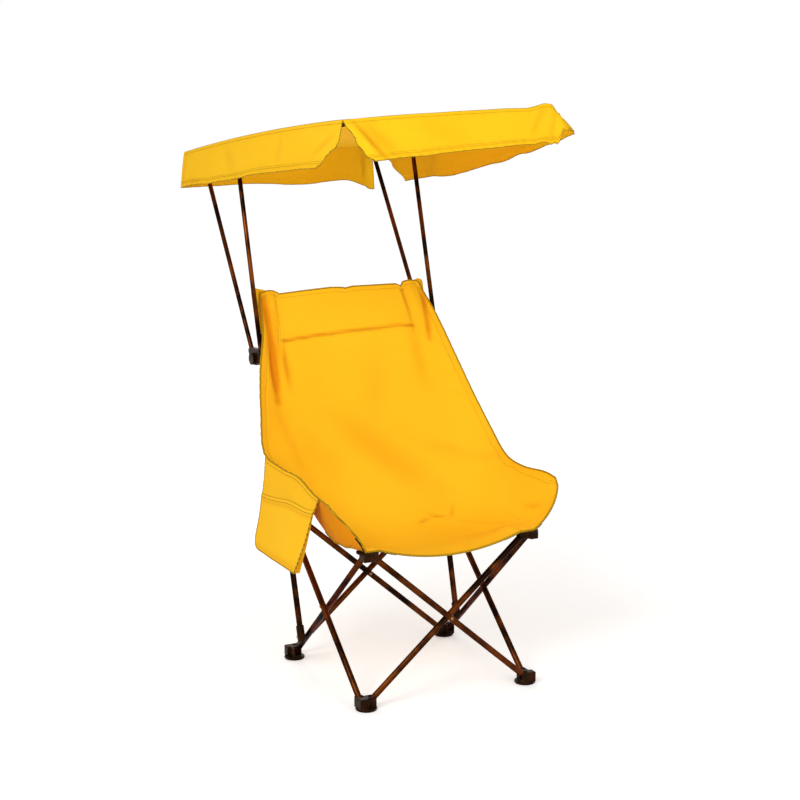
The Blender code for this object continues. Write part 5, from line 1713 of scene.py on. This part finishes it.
@dataclass
class SidePocket:
    """The flat bag on the left rim: a back, a front, a gusset between them and a hemmed mouth."""

    cloth: float = 1.5 * MM
    plane_x: float = -0.3462
    closed_gap: float = 1.8 * MM
    open_gap: float = 16.0 * MM
    rear_place: float = 4.2
    front_place: float = 7.75
    low_rear: tuple[float, float] = (0.190, 0.343)
    low_front: tuple[float, float] = (-0.078, 0.336)
    rear_mouth: float = 0.40
    front_mouth: float = 0.15
    corner: float = 0.030
    bulge: float = 3.0 * MM
    outline_radius: float = 2.0 * MM
    mouth_radius: float = 0.7 * MM
    mouth_stitch: float = 0.05
    rim_stitch: float = 0.03
    rows: int = 48
    columns: int = 48

    def points(self, share: np.ndarray, down: np.ndarray, depth: float) -> np.ndarray:
        """Find points of a layer of the pocket.

        Args:
            share: From its rear edge to its front edge, 0 to 1.
            down: From the rim to the bottom, 0 to 1.
            depth: From 0 at the back layer to 1 at the front one.

        Returns:
            The points.
        """
        shape = SlingShape()
        places = self.rear_place + (self.front_place - self.rear_place) * share
        rim = shape.points(places, -np.ones_like(share))
        low_y = BASE.y + self.low_rear[0] + (self.low_front[0] - self.low_rear[0]) * share
        low_z = self.low_rear[1] + (self.low_front[1] - self.low_rear[1]) * share
        turn = unit((down - 0.86) / 0.14)
        cut = self.corner * (1.0 - np.sqrt(1.0 - turn ** 2)) * (1.0 - share) ** 3
        lower = unit((down - self.mouth(share)) / (1.0 - self.mouth(share)))
        gap = (self.closed_gap + (self.open_gap - self.closed_gap) * lower ** 1.5) * depth
        swell = self.bulge * depth * np.sin(math.pi * np.clip(share, 0, 1)) * np.sin(math.pi * lower) ** 0.8
        hang = unit(down / 0.2)
        flat = BASE.x + self.plane_x
        y = rim[..., 1] + (low_y - rim[..., 1]) * down
        z = rim[..., 2] + (low_z - rim[..., 2]) * down
        places_flat = np.stack([np.zeros_like(y), y, z], axis=-1)
        crumple = cloth_noise(places_flat.reshape(-1, 1, 3), 0.07, 8.8).reshape(share.shape) * 1.8 * MM
        x = (rim[..., 0] - 2.6 * MM) * (1.0 - hang) + flat * hang
        return np.stack([x - gap - swell + crumple * hang, y - cut, z], axis=-1)

    def mouth(self, share: np.ndarray) -> np.ndarray:
        """How far down the front layer's hem lies."""
        return self.rear_mouth + (self.front_mouth - self.rear_mouth) * share

    def build(self, finishes: Finishes) -> None:
        """Make the bag, its tape and its stitching."""
        body = NODE_BODY["side_pocket"]
        share, down = np.meshgrid(np.linspace(0, 1, self.columns + 1), np.linspace(0, 1, self.rows + 1))
        back = self.points(share, down, 0.0)
        mouth = self.mouth(share)
        front = self.points(share, mouth + (1 - mouth) * down, 1.0)
        # painted shade: a little over the back layer, under the mouth's hem and near the bottom of the front,
        # strongly on the front gusset, and along the bottom
        sheets, painted_shades = [back, front], [0.10 * np.ones(share.shape), np.zeros(share.shape)]
        painted_shades[1] += 0.35 * np.exp(-((down - 0.10) / 0.03) ** 2) + 0.25 * np.exp(-((down - 0.95) / 0.06) ** 2)
        layers = np.linspace(0.0, 1.0, 5)
        for edge in (0.0, 1.0):
            start = self.mouth(np.array(edge))
            level = start + (1 - start) * np.linspace(0, 1, self.rows + 1)
            columns = [self.points(np.full_like(level, edge), level, layer) for layer in layers]
            sheets.append(np.stack(columns, axis=1))
            painted_shades.append(np.full((self.rows + 1, len(layers)), 0.75 * edge))
        line = np.linspace(0.0, 1.0, self.columns + 1)
        sheets.append(np.stack([self.points(line, np.ones_like(line), layer) for layer in layers]))
        painted_shades.append(np.full((len(layers), self.columns + 1), 0.5))
        item = join_grids("side_pocket_cloth", sheets, painted_shades)
        apply_step(item, "WELD", merge_threshold=0.3 * MM)
        take(item)
        bpy.ops.object.mode_set(mode="EDIT")
        bpy.ops.mesh.select_all(action="SELECT")
        bpy.ops.mesh.normals_make_consistent(inside=False)
        bpy.ops.object.mode_set(mode="OBJECT")
        apply_step(item, "SOLIDIFY", thickness=self.cloth, offset=0.0)
        smooth(item, 60)
        dress(item, finishes.seat, Slot.SEAT, body, ["side_pocket"])
        trim = self.trim(body, finishes)
        sheet_area(sheets)
        for piece in (item, *trim):
            fold_squash(piece)

    def trim(self, body: str, finishes: Finishes) -> list[bpy.types.Object]:
        """Make the tape round the bag and the stitching along its mouth.

        Args:
            body: The body that they ride on.
            finishes: The materials.

        Returns:
            The tape and the stitching.
        """
        line = np.linspace(0.0, 1.0, self.columns + 1)
        ends = []
        for edge in (0.0, 1.0):
            start = float(self.mouth(np.array(edge)))
            whole = np.full_like(line, edge)
            upper = self.points(whole, line * start, 0.0)
            ends.append(np.concatenate([upper, self.points(whole, start + (1 - start) * line, 1.0)]))
        low = self.points(line, np.ones_like(line), 1.0)
        path = np.concatenate([ends[0], low[1:-1], ends[1][::-1]])
        mouth = self.points(line, self.mouth(line), 1.0)
        parts = [path_tube("pocket_tape_outline", path, self.outline_radius, 2),
                 path_tube("pocket_tape_mouth", mouth, self.mouth_radius, 2)]
        tape = dress(join_items("side_pocket_tape", parts), finishes.tape, Slot.SEAT, body)
        off = np.array((self.cloth * 0.7, 0.0, 0.0))
        below_mouth = self.mouth(line) + (1 - self.mouth(line)) * self.mouth_stitch
        rows = [self.points(line, below_mouth, 1.0) - off,
                self.points(line, np.full_like(line, self.rim_stitch), 0.0) - off]
        stitches = Stitching(6.5 * MM, 4.6 * MM, 0.75 * MM).sew("side_pocket_stitches", rows)
        return [tape, dress(stitches, finishes.thread, Slot.SEAT, body)]


# Stage, lights and camera


@dataclass
class Studio:
    """A pale floor, soft lamps and the camera at the photograph's place."""

    place: tuple[float, float, float] = (-2.2011, -4.3313, 1.6456)
    yaw: float = 0.4667
    pitch: float = -0.1841
    roll: float = -0.0037
    lens: float = 84.64
    sensor: float = 36.0
    floor_size: float = 30.0
    world_light: float = 0.52
    near_glow: float = 0.30
    far_glow: float = 0.56
    glow_start: float = 0.5
    glow_reach: float = 4.5
    aim_height: float = 0.7
    white: str = "FFFFFF"

    def build(self) -> None:
        """Make the camera, the world, the floor and the lamps."""
        bpy.context.scene.view_settings.view_transform = "Standard"
        self.camera()
        self.world()
        self.floor()
        self.lamp("key_lamp", (-3.4, -2.4, 3.4), (1.8, 1.8), 96.0)
        self.lamp("front_lamp", (0.6, -4.0, 2.8), (2.2, 2.2), 31.0)
        self.lamp("low_lamp", (-0.5, -3.6, 0.35), (2.4, 0.5), 14.0)
        self.lamp("rear_lamp", (0.6, 3.4, 3.0), (2.4, 2.4), 40.0)
        self.lamp("left_strip_lamp", (-3.0, -1.0, 1.2), (0.12, 3.0), 7.0)
        self.lamp("right_strip_lamp", (2.2, -3.2, 1.2), (0.12, 3.0), 7.0)

    def camera(self) -> None:
        """Set the camera up as the photograph was taken."""
        ahead = Vector((math.sin(self.yaw) * math.cos(self.pitch), math.cos(self.yaw) * math.cos(self.pitch),
                        math.sin(self.pitch)))
        right = Vector((math.cos(self.yaw), -math.sin(self.yaw), 0.0))
        up = right.cross(ahead)
        turned = right * math.cos(self.roll) + up * math.sin(self.roll)
        above = up * math.cos(self.roll) - right * math.sin(self.roll)
        data = bpy.data.cameras.new("photo_camera")
        data.lens = self.lens
        data.sensor_width = self.sensor
        data.clip_end = 60.0
        item = new_item("photo_camera", data)
        turn = Matrix((turned, above, -ahead)).transposed().to_4x4()
        item.matrix_world = Matrix.Translation(BASE + Vector(self.place)) @ turn
        bpy.context.scene.camera = item

    def world(self) -> None:
        """Light the scene evenly, and show white to the camera and in reflections."""
        world = bpy.data.worlds.new("studio")
        bpy.context.scene.world = world
        world.use_nodes = True
        tree = world.node_tree
        tree.nodes.clear()
        path = add_node(tree, "LightPath")
        seen = add_node(tree, "Math", {"operation": "MAXIMUM"}, {
            0: path.outputs["Is Camera Ray"], 1: path.outputs["Is Transmission Ray"]}).outputs[0]
        shown = add_node(tree, "Math", {"operation": "MAXIMUM"}, {0: seen, 1: path.outputs["Is Glossy Ray"]})
        plain = add_node(tree, "Background", {}, {"Color": linear(self.white), "Strength": self.world_light})
        white = add_node(tree, "Background", {}, {"Color": linear(self.white), "Strength": 1.0})
        mixed = add_node(tree, "MixShader", {}, {
            0: shown.outputs[0], 1: plain.outputs["Background"], 2: white.outputs["Background"]})
        add_node(tree, "OutputWorld", {}, {"Surface": mixed.outputs["Shader"]})

    def floor(self) -> None:
        """Lay the floor. It looks white to the camera and keeps the chair's shadow."""
        deselect()
        bpy.ops.mesh.primitive_plane_add(size=self.floor_size, location=(BASE.x, BASE.y, 0.0))
        item = bpy.context.object
        item.name = "studio_floor"
        made, tree = blank_material("white_painted_floor")
        path = add_node(tree, "LightPath")
        seen = add_node(tree, "Math", {"operation": "MAXIMUM"}, {
            0: path.outputs["Is Camera Ray"], 1: path.outputs["Is Glossy Ray"]}).outputs[0]
        reach = add_node(tree, "VectorMath", {"operation": "LENGTH"}, {0: object_place(tree)}).outputs["Value"]
        spread = mapped(tree, reach, (self.glow_start, self.glow_reach),
                        (self.near_glow, self.far_glow), "SMOOTHSTEP")
        glow = add_node(tree, "Math", {"operation": "MULTIPLY"}, {0: seen, 1: spread}).outputs[0]
        finish_material(tree, {
            "Base Color": linear("F2F2F2"), "Roughness": 0.9, "Specular IOR Level": 0.1,
            "Emission Color": linear(self.white), "Emission Strength": glow})
        item.data.materials.append(made)

    def lamp(self, name: str, place: tuple[float, float, float], size: tuple[float, float], power: float) -> None:
        """Hang a soft lamp that faces the chair.

        Args:
            name: The lamp's name.
            place: Where it hangs, from the base's middle.
            size: Its width and height.
            power: Its power in watts.
        """
        data = bpy.data.lights.new(name, "AREA")
        data.shape = "RECTANGLE"
        data.size, data.size_y = size
        data.energy = power
        item = new_item(name, data)
        at = BASE + Vector(place)
        aim = BASE + Vector((0.0, 0.0, self.aim_height))
        item.matrix_world = Matrix.Translation(at) @ (at - aim).to_track_quat("Z", "Y").to_matrix().to_4x4()


def main() -> None:
    """Build the stage and every sub-assembly in order."""
    logging.basicConfig(level=logging.INFO, format="%(name)s: %(message)s")
    Studio().build()
    finishes = Finishes()
    Tubes().build(finishes)
    Hardware().build(finishes)
    Sling().build(finishes)
    SidePocket().build(finishes)
    Cover().build(finishes)


if __name__ == "__main__":
    main()
